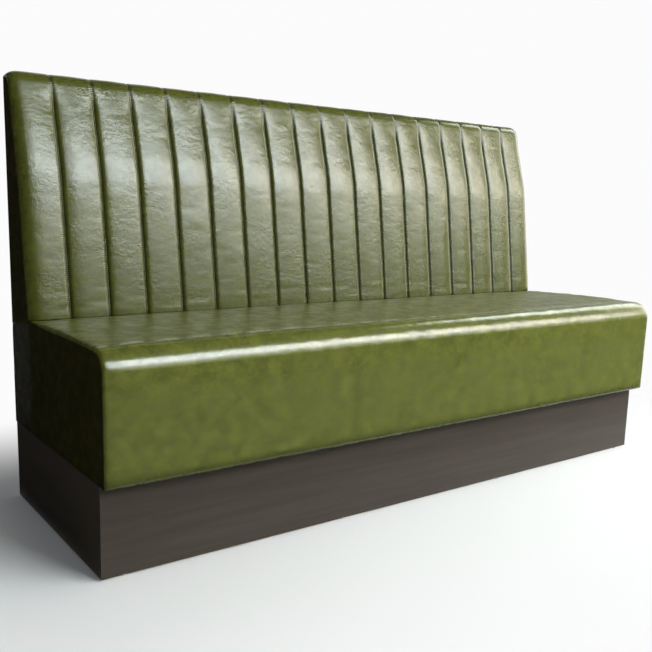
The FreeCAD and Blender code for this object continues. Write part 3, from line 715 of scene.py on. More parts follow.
@dataclass(frozen=True)
class RepeatAlongPath:
    """Repeats a small rounded bar along lines: stitches in a seam, staples in a panel."""

    seed: int
    pitch: float = STITCH_PITCH
    length: float = 0.0034
    radius: float = 0.00042
    tilt: float = 0.06
    segments: int = 6
    rings: int = 5

    def tree(self) -> bpy.types.NodeTree:
        """Builds the node tree, with named inputs for its sizes.

        Returns:
            The tree.
        """
        tree = bpy.data.node_groups.new("repeat_along_path", "GeometryNodeTree")
        given_kinds = {"Geometry": "Geometry", "Pitch": "Float", "Length": "Float", "Radius": "Float"}
        given_kinds |= {"Tilt": "Float", "Seed": "Int", "Material": "Material"}
        for name, kind in given_kinds.items():
            tree.interface.new_socket(name, in_out="INPUT", socket_type="NodeSocket" + kind)
        tree.interface.new_socket("Geometry", in_out="OUTPUT", socket_type="NodeSocketGeometry")
        sketch = NodeSketch(tree)
        given = sketch.add("NodeGroupInput").outputs
        curve = sketch.add("GeometryNodeMeshToCurve", {"Mesh": given["Geometry"]}).outputs[0]
        places = {"Curve": curve, "Length": given["Pitch"]}
        points = sketch.add("GeometryNodeCurveToPoints", places, mode="LENGTH").outputs
        ball = {"Segments": self.segments, "Rings": self.rings, "Radius": 0.5}
        bar = sketch.add("GeometryNodeMeshUVSphere", ball).outputs[0]
        width = sketch.math("MULTIPLY", given["Radius"], 2.0)
        size = sketch.add("ShaderNodeCombineXYZ", {0: width, 1: width, 2: given["Length"]}).outputs[0]
        sized = sketch.add("GeometryNodeTransform", {"Geometry": bar, "Scale": size}).outputs[0]
        leans = sketch.add("FunctionNodeRandomValue", {"Seed": given["Seed"]}, data_type="FLOAT")
        live = {socket.name: socket for socket in leans.inputs if socket.enabled}
        tree.links.new(sketch.math("MULTIPLY", given["Tilt"], -1.0), live["Min"])
        tree.links.new(given["Tilt"], live["Max"])
        lean = next(socket for socket in leans.outputs if socket.enabled)
        twist = sketch.add("ShaderNodeCombineXYZ", {0: lean, 1: lean}).outputs[0]
        turn = sketch.add("FunctionNodeEulerToRotation", {0: twist}).outputs[0]
        turns = {0: points["Rotation"], 1: turn}
        spin = sketch.add("FunctionNodeRotateRotation", turns, rotation_space="LOCAL").outputs[0]
        put = {"Points": points[0], "Instance": sized, "Rotation": spin}
        bars = sketch.add("GeometryNodeInstanceOnPoints", put).outputs[0]
        real = sketch.add("GeometryNodeRealizeInstances", {"Geometry": bars}).outputs[0]
        soft = sketch.add("GeometryNodeSetShadeSmooth", {"Geometry": real}).outputs[0]
        finish = {"Geometry": soft, "Material": given["Material"]}
        dressed = sketch.add("GeometryNodeSetMaterial", finish).outputs[0]
        sketch.add("NodeGroupOutput", {"Geometry": dressed})
        return tree

    def build(self, name: str, lines: list[np.ndarray], material: Material) -> Piece:
        """Repeats the bar along each line, as one plain mesh.

        Args:
            name: The new piece's name.
            lines: The points of each line, in metres.
            material: The bars' finish.

        Returns:
            The piece.
        """
        edges = []
        start = 0
        for line in lines:
            edges += [(start + index, start + index + 1) for index in range(len(line) - 1)]
            start += len(line)
        mesh = bpy.data.meshes.new(name)
        mesh.from_pydata(np.concatenate(lines).tolist(), edges, [])
        made = bpy.data.objects.new(name, mesh)
        bpy.context.scene.collection.objects.link(made)
        modifier = made.modifiers.new("repeat", "NODES")
        modifier.node_group = self.tree()
        values = {
            "Pitch": self.pitch, "Length": self.length, "Radius": self.radius, "Tilt": self.tilt,
            "Seed": self.seed, "Material": material,
        }
        for item in modifier.node_group.interface.items_tree:
            if item.item_type == "SOCKET" and item.in_out == "INPUT" and item.name in values:
                modifier[item.identifier] = values[item.name]
        graph = bpy.context.evaluated_depsgraph_get()
        plain = bpy.data.meshes.new_from_object(made.evaluated_get(graph), depsgraph=graph)
        made.modifiers.clear()
        made.data = plain
        return made


# Stretched covers


@dataclass(frozen=True)
class StretchedCover:
    """Presses a cover out over its filling with a short, gravity-free cloth simulation."""

    growth: float
    bending: float
    hold: float
    share: float
    pressure: float = 4.0
    mass: float = 0.4
    cap: float = 0.004
    frames: int = 20
    quality: int = 5

    def sheet(self, points: np.ndarray, outside: Vector) -> Piece:
        """Makes the sheet to simulate.

        Args:
            points: A grid of points of the cover at rest.
            outside: A direction in which the first row's faces look.

        Returns:
            The sheet, its faces towards the outside.
        """
        middle = points.shape[1] // 2
        faces = grid_faces(*points.shape[:2])
        across, down = points[0, middle + 1] - points[0, middle], points[1, middle] - points[0, middle]
        if Vector(across).cross(Vector(down)).dot(outside) < 0:
            faces = [face[::-1] for face in faces]
        made = bpy.data.objects.new("stretched_sheet", bpy.data.meshes.new("stretched_sheet"))
        made.data.from_pydata(points.reshape(-1, 3).tolist(), [], faces)
        bpy.context.scene.collection.objects.link(made)
        return made

    def moves(self, points: np.ndarray, sewn: np.ndarray, outside: Vector) -> np.ndarray:
        """Runs the simulation.

        Args:
            points: A grid of points of the cover at rest.
            sewn: True where the cover is sewn or stapled down.
            outside: A direction in which the first row's faces look.

        Returns:
            The share of each point's move that stays in the tight cover.
        """
        made = self.sheet(points, outside)
        held = made.vertex_groups.new(name="held")
        held.add(np.flatnonzero(sewn.ravel()).tolist(), 1.0, "REPLACE")
        held.add(np.flatnonzero(~sewn.ravel()).tolist(), self.hold, "REPLACE")
        cloth = made.modifiers.new("cloth", "CLOTH")
        settings = cloth.settings
        settings.vertex_group_mass = held.name
        settings.quality = self.quality
        settings.mass = self.mass
        settings.bending_stiffness = self.bending
        settings.use_pressure = True
        settings.uniform_pressure_force = self.pressure
        settings.shrink_min = -self.growth
        settings.effector_weights.gravity = 0.0
        cloth.collision_settings.use_collision = False
        cloth.point_cache.frame_start, cloth.point_cache.frame_end = 1, self.frames
        scene = bpy.context.scene
        for number in range(1, self.frames + 1):
            scene.frame_set(number)
        solved = made.evaluated_get(bpy.context.evaluated_depsgraph_get())
        after = np.empty(points.size, np.float32)
        solved.data.vertices.foreach_get("co", after)
        move = after.reshape(points.shape) - points
        bpy.data.objects.remove(made)
        scene.frame_set(1)
        length = np.linalg.norm(move, axis=2, keepdims=True)
        return move * self.share * np.minimum(1.0, self.cap / np.maximum(length, TINY))


def refine(values: np.ndarray, places: np.ndarray, count: int, axis: int, width: int) -> np.ndarray:
    """Spreads coarse values over a finer grid and rounds off the steps between them.

    Args:
        values: The coarse values.
        places: The fine index of each coarse row or column.
        count: The number of fine rows or columns.
        axis: The axis to refine.
        width: The number of fine steps over which the result is rounded off.

    Returns:
        The finer values.
    """
    moved = np.moveaxis(values, axis, 0)
    flat = moved.reshape(len(places), -1)
    fine = np.stack([np.interp(np.arange(count), places, column) for column in flat.T], axis=1)
    kernel = np.convolve(np.ones(width), np.ones(width)) / width ** 2
    padded = np.pad(fine, ((width - 1, width - 1), (0, 0)), mode="edge")
    smooth = sum(kernel[step] * padded[step:step + count] for step in range(len(kernel)))
    smooth[0], smooth[-1] = fine[0], fine[-1]
    return np.moveaxis(smooth.reshape((count,) + moved.shape[1:]), 0, axis)


def side_lines(line: np.ndarray, x: float) -> list[np.ndarray]:
    """Copies a line of Y and Z places onto both ends of the bench.

    Args:
        line: The places, seen from the side.
        x: The distance of each copy from the middle.

    Returns:
        The two lines of points.
    """
    return [np.column_stack([np.full(len(line), side.value * x), line]) for side in Side]


# The bench's own sub-assemblies


@dataclass
class Bench:
    """The driving sizes that every sub-assembly follows, read from the frame where it holds them."""

    half: float = field(init=False)
    front: float = field(init=False)
    rear: float = field(init=False)
    height: float = field(init=False)
    seat_height: float = 0.480
    plinth_height: float = 0.200
    cover: float = 0.0015
    rear_panel: float = 0.0032

    def __post_init__(self) -> None:
        """Reads the overall box."""
        low, high = cad_box
        self.half, self.front = high.x, low.y
        self.rear, self.height = high.y, high.z


@dataclass
class FluteSection:
    """The front of the flutes in section: wide crest arcs, tight shoulders and rounded outer ends."""

    half: float
    count: int = 18
    crest_radius: float = 0.300
    shoulder_radius: float = 0.018
    seam_slope: float = math.radians(54.0)
    end_radius: float = 0.028
    end_slope: float = math.radians(75.0)
    shoulder_columns: int = 6
    crest_columns: int = 12

    @property
    def pitch(self) -> float:
        """The width of one flute."""
        return 2 * self.half / self.count

    def shoulder(self, radius: float, slope: float) -> tuple[np.ndarray, np.ndarray, float]:
        """One shoulder of a flute, from its crest arc outwards.

        Args:
            radius: The shoulder's radius.
            slope: The slope where it ends, in radians.

        Returns:
            The distances from the flute's middle, the rises above the crest line (negative), and the
            angle at which the crest arc ends.
        """
        side = radius * math.sin(slope)
        angle = math.asin((self.pitch / 2 - side) / (self.crest_radius - radius))
        rise = (self.crest_radius - radius) * math.cos(angle) - self.crest_radius
        turns = np.linspace(angle, slope, self.shoulder_columns + 1)
        return self.pitch / 2 - side + radius * np.sin(turns), rise + radius * np.cos(turns), angle

    def columns(self) -> tuple[np.ndarray, np.ndarray, np.ndarray]:
        """The whole front in section, from the left end to the right.

        Returns:
            The places along X, the rises, and the distances from the nearest seam.
        """
        places, rises, gaps = [], [], []
        for number in range(self.count):
            middle = (number + 0.5) * self.pitch - self.half
            sides = [(self.shoulder_radius, self.seam_slope)] * 2
            if number == 0:
                sides[0] = (self.end_radius, self.end_slope)
            if number == self.count - 1:
                sides[1] = (self.end_radius, self.end_slope)
            left_x, left_rise, left_angle = self.shoulder(*sides[0])
            right_x, right_rise, right_angle = self.shoulder(*sides[1])
            turns = np.linspace(-left_angle, right_angle, self.crest_columns + 1)[1:-1]
            x = np.concatenate([-left_x[::-1], self.crest_radius * np.sin(turns), right_x])
            rise = np.concatenate([left_rise[::-1], self.crest_radius * (np.cos(turns) - 1), right_rise])
            keep = slice(0 if number == 0 else 1, None)
            places.append(middle + x[keep])
            rises.append(rise[keep])
            gap = self.pitch / 2 - np.abs(x)
            if number == 0:
                gap = np.where(x < 0, self.pitch / 2, gap)
            if number == self.count - 1:
                gap = np.where(x > 0, self.pitch / 2, gap)
            gaps.append(gap[keep])
        return np.concatenate(places), np.concatenate(rises), np.concatenate(gaps)


@dataclass(frozen=True)
class EndPanel:
    """A thin, softly filled end cover that is drawn in along its sewn edge."""

    fall: float
    fall_share: float
    edge_shares: tuple[float, ...]
    wide_share: float
    wide_count: int
    waves: Waves

    def build(
        self, part: str, side: Side, edge: np.ndarray, far: np.ndarray, bench: Bench, leather: Material
    ) -> Piece:
        """Builds and dresses the panel.

        Args:
            part: The part of the bench that it closes, as the frame's nodes name it.
            side: The end that it is on.
            edge: The Y and Z places of its sewn edge.
            far: The places opposite to them.
            bench: The driving sizes.
            leather: Its finish.

        Returns:
            The panel.
        """
        across = np.concatenate([self.edge_shares, np.linspace(self.wide_share, 1.0, self.wide_count)])
        grid = np.empty((len(edge), len(across), 3))
        grid[..., 1:] = edge[:, None, :] + across[None, :, None] * (far - edge)[:, None, :]
        drawn = self.fall * np.exp(-across / self.fall_share)
        hollow = np.minimum(self.waves.at(grid[..., 1], grid[..., 2]), 0.0)
        grid[..., 0] = side.value * (bench.half - drawn + hollow)
        name = part + "_" + side.name.lower()
        made = slab_object(name + "_end_panel", grid, Vector((-side.value * bench.cover, 0, 0)), leather)
        outward(made)
        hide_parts(name + "_end_cover", name + "_wadding")
        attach(made, BODY)
        return made


@dataclass
class FlutedBack:
    """The fluted, upholstered back with its end panels and seam stitches."""

    bench: Bench
    leather: Material
    end_leather: Material
    thread: Material
    end_thread: Material
    depth_at_seat: float = 0.155
    depth_at_top: float = 0.049
    rake: float = math.radians(7.5)
    bend_share: float = 0.61
    bend_radius: float = 0.600
    top_radius: float = 0.036
    ledge_drop: float = 0.030
    row_step: float = 0.0042
    bend_step: float = math.radians(7.0)
    fade_start: float = 0.085
    fade_end: float = 0.020
    top_seam_share: float = 0.22
    top_end_share: float = 0.60
    tuck: float = 0.0015
    tuck_height: float = 0.020
    fold_radius: float = 0.004
    fold_steps: int = 3
    rear_height: float = 0.060
    rear_start_share: float = 0.15
    rear_rows: int = 7
    bed: float = 0.0237
    bed_row_step: int = 12
    end_tuck: float = 0.004
    lumps: tuple[Waves, ...] = (
        Waves(0.00030, 0.075, 0.055, 3, (9.0, 40.0)), Waves(0.00015, 0.03, 0.04, 5, (9.0, 40.0))
    )
    ripples: tuple[Waves, ...] = (
        Waves(0.00040, 0.0105, 1 / 5.3, 8, lean=3.7), Waves(0.00024, 0.026, 1 / 7.1, 9, lean=1.9)
    )
    pucker_reach: float = 0.010
    crease: Waves = Waves(0.0005, 0.013, 0.09, 12)
    crease_drift: Waves = Waves(0.00455, 0.05, 0.1, 4)
    crease_height: float = 0.085
    crease_power: float = 0.8
    cover: StretchedCover = StretchedCover(growth=0.006, bending=0.5, hold=0.3, share=0.16)
    coarse_rows: int = 2
    coarse_columns: int = 3
    sewn_reach: float = 0.0002
    even_margin: int = 4
    facing: Place = (0.0, -1.0, 0.2)
    stitch: RepeatAlongPath = RepeatAlongPath(7)
    stitch_rise: float = 0.0009
    stitch_shift: float = 0.0004
    panel: EndPanel = EndPanel(
        0.0011, 0.012, (0.0, 0.006, 0.015, 0.03), 0.06, 20, Waves(0.00024, 0.05, 0.07, 31, (20.0, 20.0))
    )
    end_drop: float = 0.0220
    end_margin: float = 0.001
    end_row_step: int = 2
    end_stitch_drop: float = 0.009
    end_stitch_inset: float = 0.0007
    flap_depth: float = 0.018
    flap_thickness: float = 0.00064
    flap_lift: float = 0.0008
    flap_inset: float = 0.012

    def __post_init__(self) -> None:
        """Works out the corners of the back's side view."""
        bench = self.bench
        self.flutes = FluteSection(bench.half)
        front_y = bench.rear - self.depth_at_seat
        slope = math.tan(self.rake)
        bend_z = bench.seat_height + self.bend_share * (bench.height - bench.seat_height)
        bend = (front_y + slope * (bend_z - bench.seat_height), bend_z)
        top = (bench.rear - self.depth_at_top, bench.height)
        self.foot_rear = bench.seat_height - self.ledge_drop
        shift = (bench.rear - front_y + slope * self.ledge_drop) * slope / (1 + slope * slope)
        foot_z = self.foot_rear + shift
        foot = (front_y + slope * (foot_z - bench.seat_height), foot_z)
        self.skin_rear = bench.rear - bench.rear_panel
        self.corners = [foot, bend, top, (self.skin_rear, bench.height)]
        self.radii = [self.bend_radius, self.top_radius]

    def crest_path(self) -> tuple[np.ndarray, np.ndarray]:
        """The crest line with its inward directions, from the foot to the rear of the top."""
        return rounded_path(self.corners, self.radii, self.row_step, self.bend_step)

    def creases(self, along: np.ndarray, x: np.ndarray, gap: np.ndarray) -> np.ndarray:
        """Works out lumps, puckers beside the seams and creases near the foot.

        Args:
            along: The distances up the crest path, as a column.
            x: The places along X, as a row.
            gap: The distances from the nearest seam, as a row.

        Returns:
            How far the skin stands off its plain section, along the surface normals.
        """
        lumps = sum(waves.at(along, x) for waves in self.lumps)
        half_flute = np.floor((x + self.bench.half) / (self.flutes.pitch / 2))
        ripple = sum(waves.at(along, half_flute) for waves in self.ripples)
        puckers = ripple * np.exp(-gap / self.pucker_reach)
        low = np.clip(1 - along / self.crease_height, 0, 1) ** self.crease_power
        folds = low * self.crease.at(along + self.crease_drift.at(x, along), x)
        return lumps + puckers + folds

    def front_skin(self) -> np.ndarray:
        """The visible skin from the foot to the rear of the top.

        Returns:
            The grid of points, with a row for each step up the crest path.
        """
        x, rise, gap = self.flutes.columns()
        points, inward = self.crest_path()
        along = path_lengths(points)
        slope_x, slope_rise = np.gradient(x), np.gradient(rise)
        length = np.hypot(slope_x, slope_rise)
        normal_x, normal_rise = -slope_rise / length, slope_x / length
        offset = self.creases(along[:, None], x[None, :], gap[None, :])
        to_roof = along[-1] - (self.skin_rear - self.corners[2][0]) - along
        fade = eased(np.clip((to_roof - self.fade_end) / (self.fade_start - self.fade_end), 0, 1))[:, None]
        outer = (gap >= self.flutes.pitch / 2)[None, :]
        least = np.where(outer, self.top_end_share, self.top_seam_share)
        tucked = self.tuck * np.clip(1 - along / self.tuck_height, 0, 1)[:, None] ** 2
        lift = rise[None, :] * (least + (1 - least) * fade) + offset * normal_rise[None, :] - tucked
        grid = np.empty((len(points), len(x), 3))
        grid[..., 0] = x[None, :] + offset * normal_x[None, :]
        grid[..., 1] = points[:, :1] - lift * inward[:, :1]
        grid[..., 2] = points[:, 1:] - lift * inward[:, 1:]
        return grid + self.stretch(grid, gap, inward)

    def skin_rows(self) -> tuple[np.ndarray, np.ndarray]:
        """The whole skin: the visible side, then its fold and its edge on the rear.

        Returns:
            The grid of points, and the path length at each row.
        """
        grid = self.front_skin()
        edge_z = grid[-1, :, 2]
        rows = [grid[:-1]]

        def add_row(y: float, z: np.ndarray) -> None:
            """Adds a row behind the top edge.

            Args:
                y: Its place along Y.
                z: The height of each of its points.
            """
            row = grid[-1].copy()
            row[:, 1], row[:, 2] = y, z
            rows.append(row[None])

        for turn in np.linspace(0.0, QUARTER_TURN, self.fold_steps + 1):
            y = self.skin_rear - self.fold_radius * (1 - math.sin(turn))
            add_row(y, edge_z - self.fold_radius * (1 - math.cos(turn)))
        low = self.bench.height - self.rear_height
        for share in np.linspace(self.rear_start_share, 1.0, self.rear_rows):
            add_row(self.skin_rear, (edge_z - self.fold_radius) * (1 - share) + low * share)
        skin = np.concatenate(rows)
        return skin, path_lengths(skin[:, skin.shape[1] // 2])

    def stretch(self, grid: np.ndarray, gap: np.ndarray, inward: np.ndarray) -> np.ndarray:
        """How the filling pushes the skin into wrinkles between its seams.

        Args:
            grid: The skin's points, a row for each step up the crest path.
            gap: The distances from the nearest seam.
            inward: The crest path's inward directions.

        Returns:
            The moves of the skin's points, with the even swelling of each column taken off.
        """
        rows = np.append(np.arange(0, len(grid) - 1, self.coarse_rows), len(grid) - 1)
        columns = np.arange(0, grid.shape[1], self.coarse_columns)
        coarse = grid[rows][:, columns]
        sewn = np.zeros(coarse.shape[:2], bool)
        sewn[[0, -1]] = True
        sewn[:, gap[columns] < self.sewn_reach] = True
        sewn[:, [0, -1]] = True
        move = self.cover.moves(coarse, sewn, Vector(self.facing))
        in_y, in_z = inward[rows, None, 0], inward[rows, None, 1]
        out = -(move[..., 1] * in_y + move[..., 2] * in_z)
        even = np.median(out[self.even_margin:-self.even_margin], axis=0, keepdims=True)
        move[..., 1] += even * in_y
        move[..., 2] += even * in_z
        move[sewn] = 0.0
        fine = refine(move, columns, grid.shape[1], 1, self.coarse_columns)
        return refine(fine, rows, len(grid), 0, self.coarse_rows)

    def bed_rows(self, columns: np.ndarray) -> np.ndarray:
        """The hidden side, from the cover's rear edge along the face board to the foot.

        Args:
            columns: The places along X of the visible side.

        Returns:
            The grid of points.
        """
        points, inward = self.crest_path()
        inner = (points + self.bed * inward)[::self.bed_row_step]
        rear_y = self.skin_rear - self.bench.cover
        path = [(rear_y, self.bench.height - self.rear_height), (rear_y, self.bench.height - self.bed)]
        path += [tuple(place) for place in inner[::-1] if place[0] < self.skin_rear - self.bed]
        grid = np.empty((len(path), len(columns), 3))
        grid[..., 0] = columns * (1 - self.end_tuck / self.bench.half)
        grid[..., 1:] = np.array(path)[:, None, :]
        return grid

    def build_pad(self) -> Piece:
        """Builds the fluted pad, skin and filling in one.

        Returns:
            The closed piece.
        """
        x, _, gap = self.flutes.columns()
        skin, along = self.skin_rows()
        bed = self.bed_rows(x)
        points = np.concatenate([skin, bed])
        made = closed_loop_object("fluted_back_pad", points, self.leather)
        outward(made)
        size = points.shape[:2]
        lengths = np.concatenate([along, np.full(len(bed), along[-1])])
        point_attribute(made, "seam_distance", np.broadcast_to(gap, size))
        point_attribute(made, "path_length", np.broadcast_to(lengths[:, None], size))
        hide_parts("fluted_cover", "flute_foams")
        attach(made, BODY)
        return made

    def build_stitches(self) -> Piece:
        """Builds the stitches that show at the bottom of the seams.

        Returns:
            The stitches of every seam as one piece.
        """
        x, rise, _ = self.flutes.columns()
        points, inward = self.crest_path()
        lines = []
        for seam in np.arange(1, self.flutes.count) * self.flutes.pitch - self.bench.half:
            depth = rise[np.argmin(np.abs(x - seam))] + self.stitch_rise
            line = np.empty((len(points), 3))
            line[:, 0] = seam + self.stitch_shift
            line[:, 1:] = points - depth * inward
            lines.append(line)
        made = self.stitch.build("flute_seam_stitches", lines, self.thread)
        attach(made, BODY)
        return made

    def build_end(self, side: Side) -> Piece:
        """Builds one end panel, from the curved edge to the rear.

        Args:
            side: The end that it is on.

        Returns:
            The panel.
        """
        points, inward = self.crest_path()
        edge = points + self.end_drop * inward
        edge = edge[edge[:, 0] < self.skin_rear - self.end_margin]
        edge = np.concatenate([edge[::self.end_row_step], [(self.skin_rear, edge[-1, 1])]])
        rises = np.linspace(self.foot_rear, edge[-1, 1], len(edge))
        rear = np.column_stack([np.full(len(edge), self.skin_rear), rises])
        return self.panel.build("back", side, edge, rear, self.bench, self.end_leather)

    def build_end_stitches(self) -> Piece:
        """Builds the topstitches just inside the curved edge of both end panels.

        Returns:
            The stitches of both ends as one piece.
        """
        points, inward = self.crest_path()
        line = points + (self.end_drop + self.end_stitch_drop) * inward
        line = line[line[:, 0] < self.skin_rear - self.end_stitch_drop]
        lines = side_lines(line, self.bench.half - self.end_stitch_inset)
        made = self.stitch.build("back_end_stitches", lines, self.end_thread)
        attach(made, BODY)
        return made

    def build_flap(self) -> Piece:
        """Builds the cover's turned-under lower edge, which lies on the ledge and closes each seam's foot.

        Returns:
            The flap.
        """
        foot_y, foot_z = self.corners[0]
        reach = self.bench.half - self.flap_inset
        grid = np.empty((2, 2, 3))
        grid[..., 0] = (-reach, reach)
        for row, step in enumerate((0.0, self.flap_depth)):
            grid[row, :, 1] = foot_y + step * math.cos(self.rake)
            grid[row, :, 2] = foot_z - step * math.sin(self.rake) + self.flap_lift
        # The flap takes the ends' darker finish, so it also lays a dark sheet into the shaded joint between
        # back and seat.
        made = slab_object("back_foot_flap", grid, Vector((0, 0, -self.flap_thickness)), self.end_leather)
        outward(made)
        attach(made, BODY)
        return made

    def build(self) -> None:
        """Builds and dresses every piece of the back."""
        report(self.build_pad())
        report(self.build_flap())
        report(self.build_stitches())
        report(self.build_end_stitches())
        for side in Side:
            report(self.build_end(side))


@dataclass
class SeatPad:
    """The padded seat: one wrap over the top, bullnose and front border, with two end panels."""

    bench: Bench
    leather: Material
    end_leather: Material
    end_thread: Material
    rear_y: float = 0.1435
    crown: float = 0.004
    crown_power: float = 1.35
    end_fall: float = 0.003
    step: float = 0.0065
    end_round: float = 0.006
    end_inset: float = 0.0008
    end_turn: float = math.radians(84.0)
    end_steps: int = 6
    pinch: float = 0.0042
    pinch_reach: float = 0.024
    rear_pinch_share: float = 0.25
    pinch_growth: float = 3.0
    rear_roll: float = 0.004
    rear_roll_length: float = 0.012
    nose_radius: float = 0.048
    nose_steps: int = 30
    nose_swell: float = 0.022
    nose_swell_turn: float = math.radians(23.0)
    nose_swell_spread: float = math.radians(8.0)
    nose_break: float = 0.030
    nose_break_spread: float = math.radians(11.0)
    soft_reach: float = 0.060
    border_steps: int = 31
    foot_radius: float = 0.011
    foot_steps: int = 5
    least_foot_share: float = 0.05
    under: float = 0.1985
    under_return: float = 0.030
    under_steps: int = 2
    lining_drop: float = 0.0003
    panel_front: float = 0.0218
    panel_gap: float = 0.0004
    deck_top: float = 0.4172
    lining_inset: float = 0.004
    waves: tuple[Waves, ...] = (
        Waves(0.0009, 0.16, 0.11, 21, (3.0, 30.0)), Waves(0.0004, 0.05, 0.045, 22, (3.0, 60.0))
    )
    end_waves: Waves = Waves(0.0012, 0.018, 1 / 7, 23)
    end_waves_reach: float = 0.03
    calm_end: float = 0.01
    calm_foot: float = 0.05
    cover: StretchedCover = StretchedCover(growth=0.003, bending=6.0, hold=0.4, share=0.35)
    coarse_rows: int = 2
    coarse_columns: int = 2
    sewn_rear_rows: int = 2
    sewn_under_rows: int = 6
    sewn_end_columns: int = 3
    shine_reach: float = 0.020
    border_shine: float = 0.55
    border_reach: float = 0.055
    foot_shade: float = 0.014
    panel: EndPanel = EndPanel(
        0.0009, 0.03, (0.0, 0.008, 0.02, 0.04), 0.08, 18, Waves(0.00024, 0.06, 0.05, 33, (20.0, 20.0))
    )
    panel_overlap: float = 0.012
    panel_step: float = 0.0003
    ledge_rear: float = 0.4498
    ledge_front: float = 0.4700
    stitch: RepeatAlongPath = RepeatAlongPath(17)
    stitch_drop: float = 0.009
    stitch_inset: float = 0.0006

    def columns(self) -> tuple[np.ndarray, np.ndarray]:
        """The places along X and how far the section is drawn in at each.

        Returns:
            The places from the left end to the right, and the distances inwards.
        """
        straight = self.bench.half - self.end_round - self.end_inset
        count = round(2 * straight / self.step)
        turns = np.linspace(0, self.end_turn, self.end_steps + 1)[1:]
        end_x = straight + self.end_round * np.sin(turns)
        end_in = self.end_round * (1 - np.cos(turns))
        x = np.concatenate([-end_x[::-1], np.linspace(-straight, straight, count + 1), end_x])
        drawn = np.concatenate([end_in[::-1], np.zeros(count + 1), end_in])
        return x, drawn + self.pinch * np.exp(-self.from_end(x) / self.pinch_reach)

    def from_end(self, x: np.ndarray) -> np.ndarray:
        """The distances from the nearer end of the bench."""
        return self.bench.half - np.abs(x)

    def nose(self, drawn: np.ndarray, soft: np.ndarray) -> tuple[np.ndarray, np.ndarray]:
        """Bends the wrap round the front edge, from the border up to the top.

        Args:
            drawn: How far each column is drawn in.
            soft: How freely each column swells.

        Returns:
            How far each place lies above the border's top and how far behind its face.
        """
        turns = np.linspace(0, QUARTER_TURN, self.nose_steps + 1)[:, None]
        shape = self.nose_swell * np.exp(-((turns - self.nose_swell_turn) / self.nose_swell_spread) ** 2)
        shape -= self.nose_break * np.exp(-(turns / self.nose_break_spread) ** 2)
        bend = (self.nose_radius - drawn)[None, :] + soft[None, :] * shape
        steps = 0.5 * (bend[1:] + bend[:-1]) * (turns[1] - turns[0])
        middles = 0.5 * (turns[1:] + turns[:-1])
        start = np.zeros((1, len(drawn)))
        up = np.concatenate([start, np.cumsum(steps * np.cos(middles), axis=0)])
        return up, np.concatenate([start, np.cumsum(steps * np.sin(middles), axis=0)])

    def wrap_rows(self, x: np.ndarray, drawn: np.ndarray) -> np.ndarray:
        """The visible side of the wrap, from the rear of the seat to its underside.

        Args:
            x: The places along X.
            drawn: How far each column is drawn in.

        Returns:
            The grid of points.
        """
        bench = self.bench
        crest = bench.seat_height - self.crown - self.end_fall * (x / bench.half) ** 2
        soft = 1 - np.exp(-self.from_end(x) / self.soft_reach)
        up, behind = self.nose(drawn, soft)
        nose_y = bench.front + drawn + behind[-1]
        rows = []
        count = round((self.rear_y - bench.front - self.nose_radius) / self.step)
        for share in np.linspace(0, 1, count + 1):
            lift = self.crown * (1 - (2 * share - 1) ** 2) ** self.crown_power
            back = np.clip(1 - share * (self.rear_y - nose_y) / self.rear_roll_length, 0, 1)
            rolled = self.rear_roll * (1 - np.sqrt(1 - back ** 2)) * soft
            pulled = drawn * min(1.0, self.rear_pinch_share + self.pinch_growth * share)
            rows.append((self.rear_y + share * (nose_y - self.rear_y), crest - pulled + lift - rolled))
        face_y = bench.front + drawn
        top = crest - drawn - up[-1]
        for step in reversed(range(self.nose_steps)):
            rows.append((face_y + behind[step], top + up[step]))
        narrow = 1 - drawn / (self.end_round + 2 * self.pinch)
        foot = self.foot_radius * np.clip(narrow, self.least_foot_share, 1)
        low = self.under + foot
        for share in np.linspace(0, 1, self.border_steps + 1)[1:]:
            rows.append((face_y, top + share * (low - top)))
        for turn in np.linspace(0, QUARTER_TURN, self.foot_steps + 1)[1:]:
            rows.append((face_y + foot * (1 - math.cos(turn)), low - foot * math.sin(turn)))
        start, end = face_y + foot, bench.front + self.under_return
        for share in np.linspace(0, 1, self.under_steps + 1)[1:]:
            rows.append((start + share * (end - start), np.full_like(x, self.under)))
        return np.stack([np.stack([x, y, z], axis=1) for y, z in rows])

    def inner_rows(self, x: np.ndarray) -> np.ndarray:
        """The hidden side, over the front panel and the deck.

        Args:
            x: The places along X of the visible side.

        Returns:
            The grid of points.
        """
        front_y = self.bench.front + self.panel_front - self.panel_gap
        low = self.bench.plinth_height - self.lining_drop
        path = [
            (self.bench.front + self.under_return, low), (front_y, low), (front_y, self.deck_top),
            (self.rear_y, self.deck_top),
        ]
        grid = np.empty((len(path), len(x), 3))
        grid[..., 0] = x * (1 - self.lining_inset / self.bench.half)
        grid[..., 1:] = np.array(path)[:, None, :]
        return grid

    def soften(self, grid: np.ndarray) -> np.ndarray:
        """Adds the shallow waves of a stretched cover over foam.

        Args:
            grid: The wrap's points, a row for each step from the rear to the underside.

        Returns:
            The moved points.
        """
        normals = np.cross(np.gradient(grid, axis=0), np.gradient(grid, axis=1))
        normals /= np.maximum(np.linalg.norm(normals, axis=2, keepdims=True), TINY)
        if normals[..., 2].sum() < 0:
            normals = -normals
        along = path_lengths(grid[:, grid.shape[1] // 2])[:, None]
        x = grid[..., 0]
        from_end = self.from_end(x)
        wave = sum(waves.at(along, x) for waves in self.waves)
        wave += np.exp(-from_end / self.end_waves_reach) * self.end_waves.at(along, np.sign(x))
        calm = np.clip(from_end / self.calm_end, 0, 1) * np.clip((along[-1] - along) / self.calm_foot, 0, 1)
        return grid + normals * (wave * calm)[..., None]

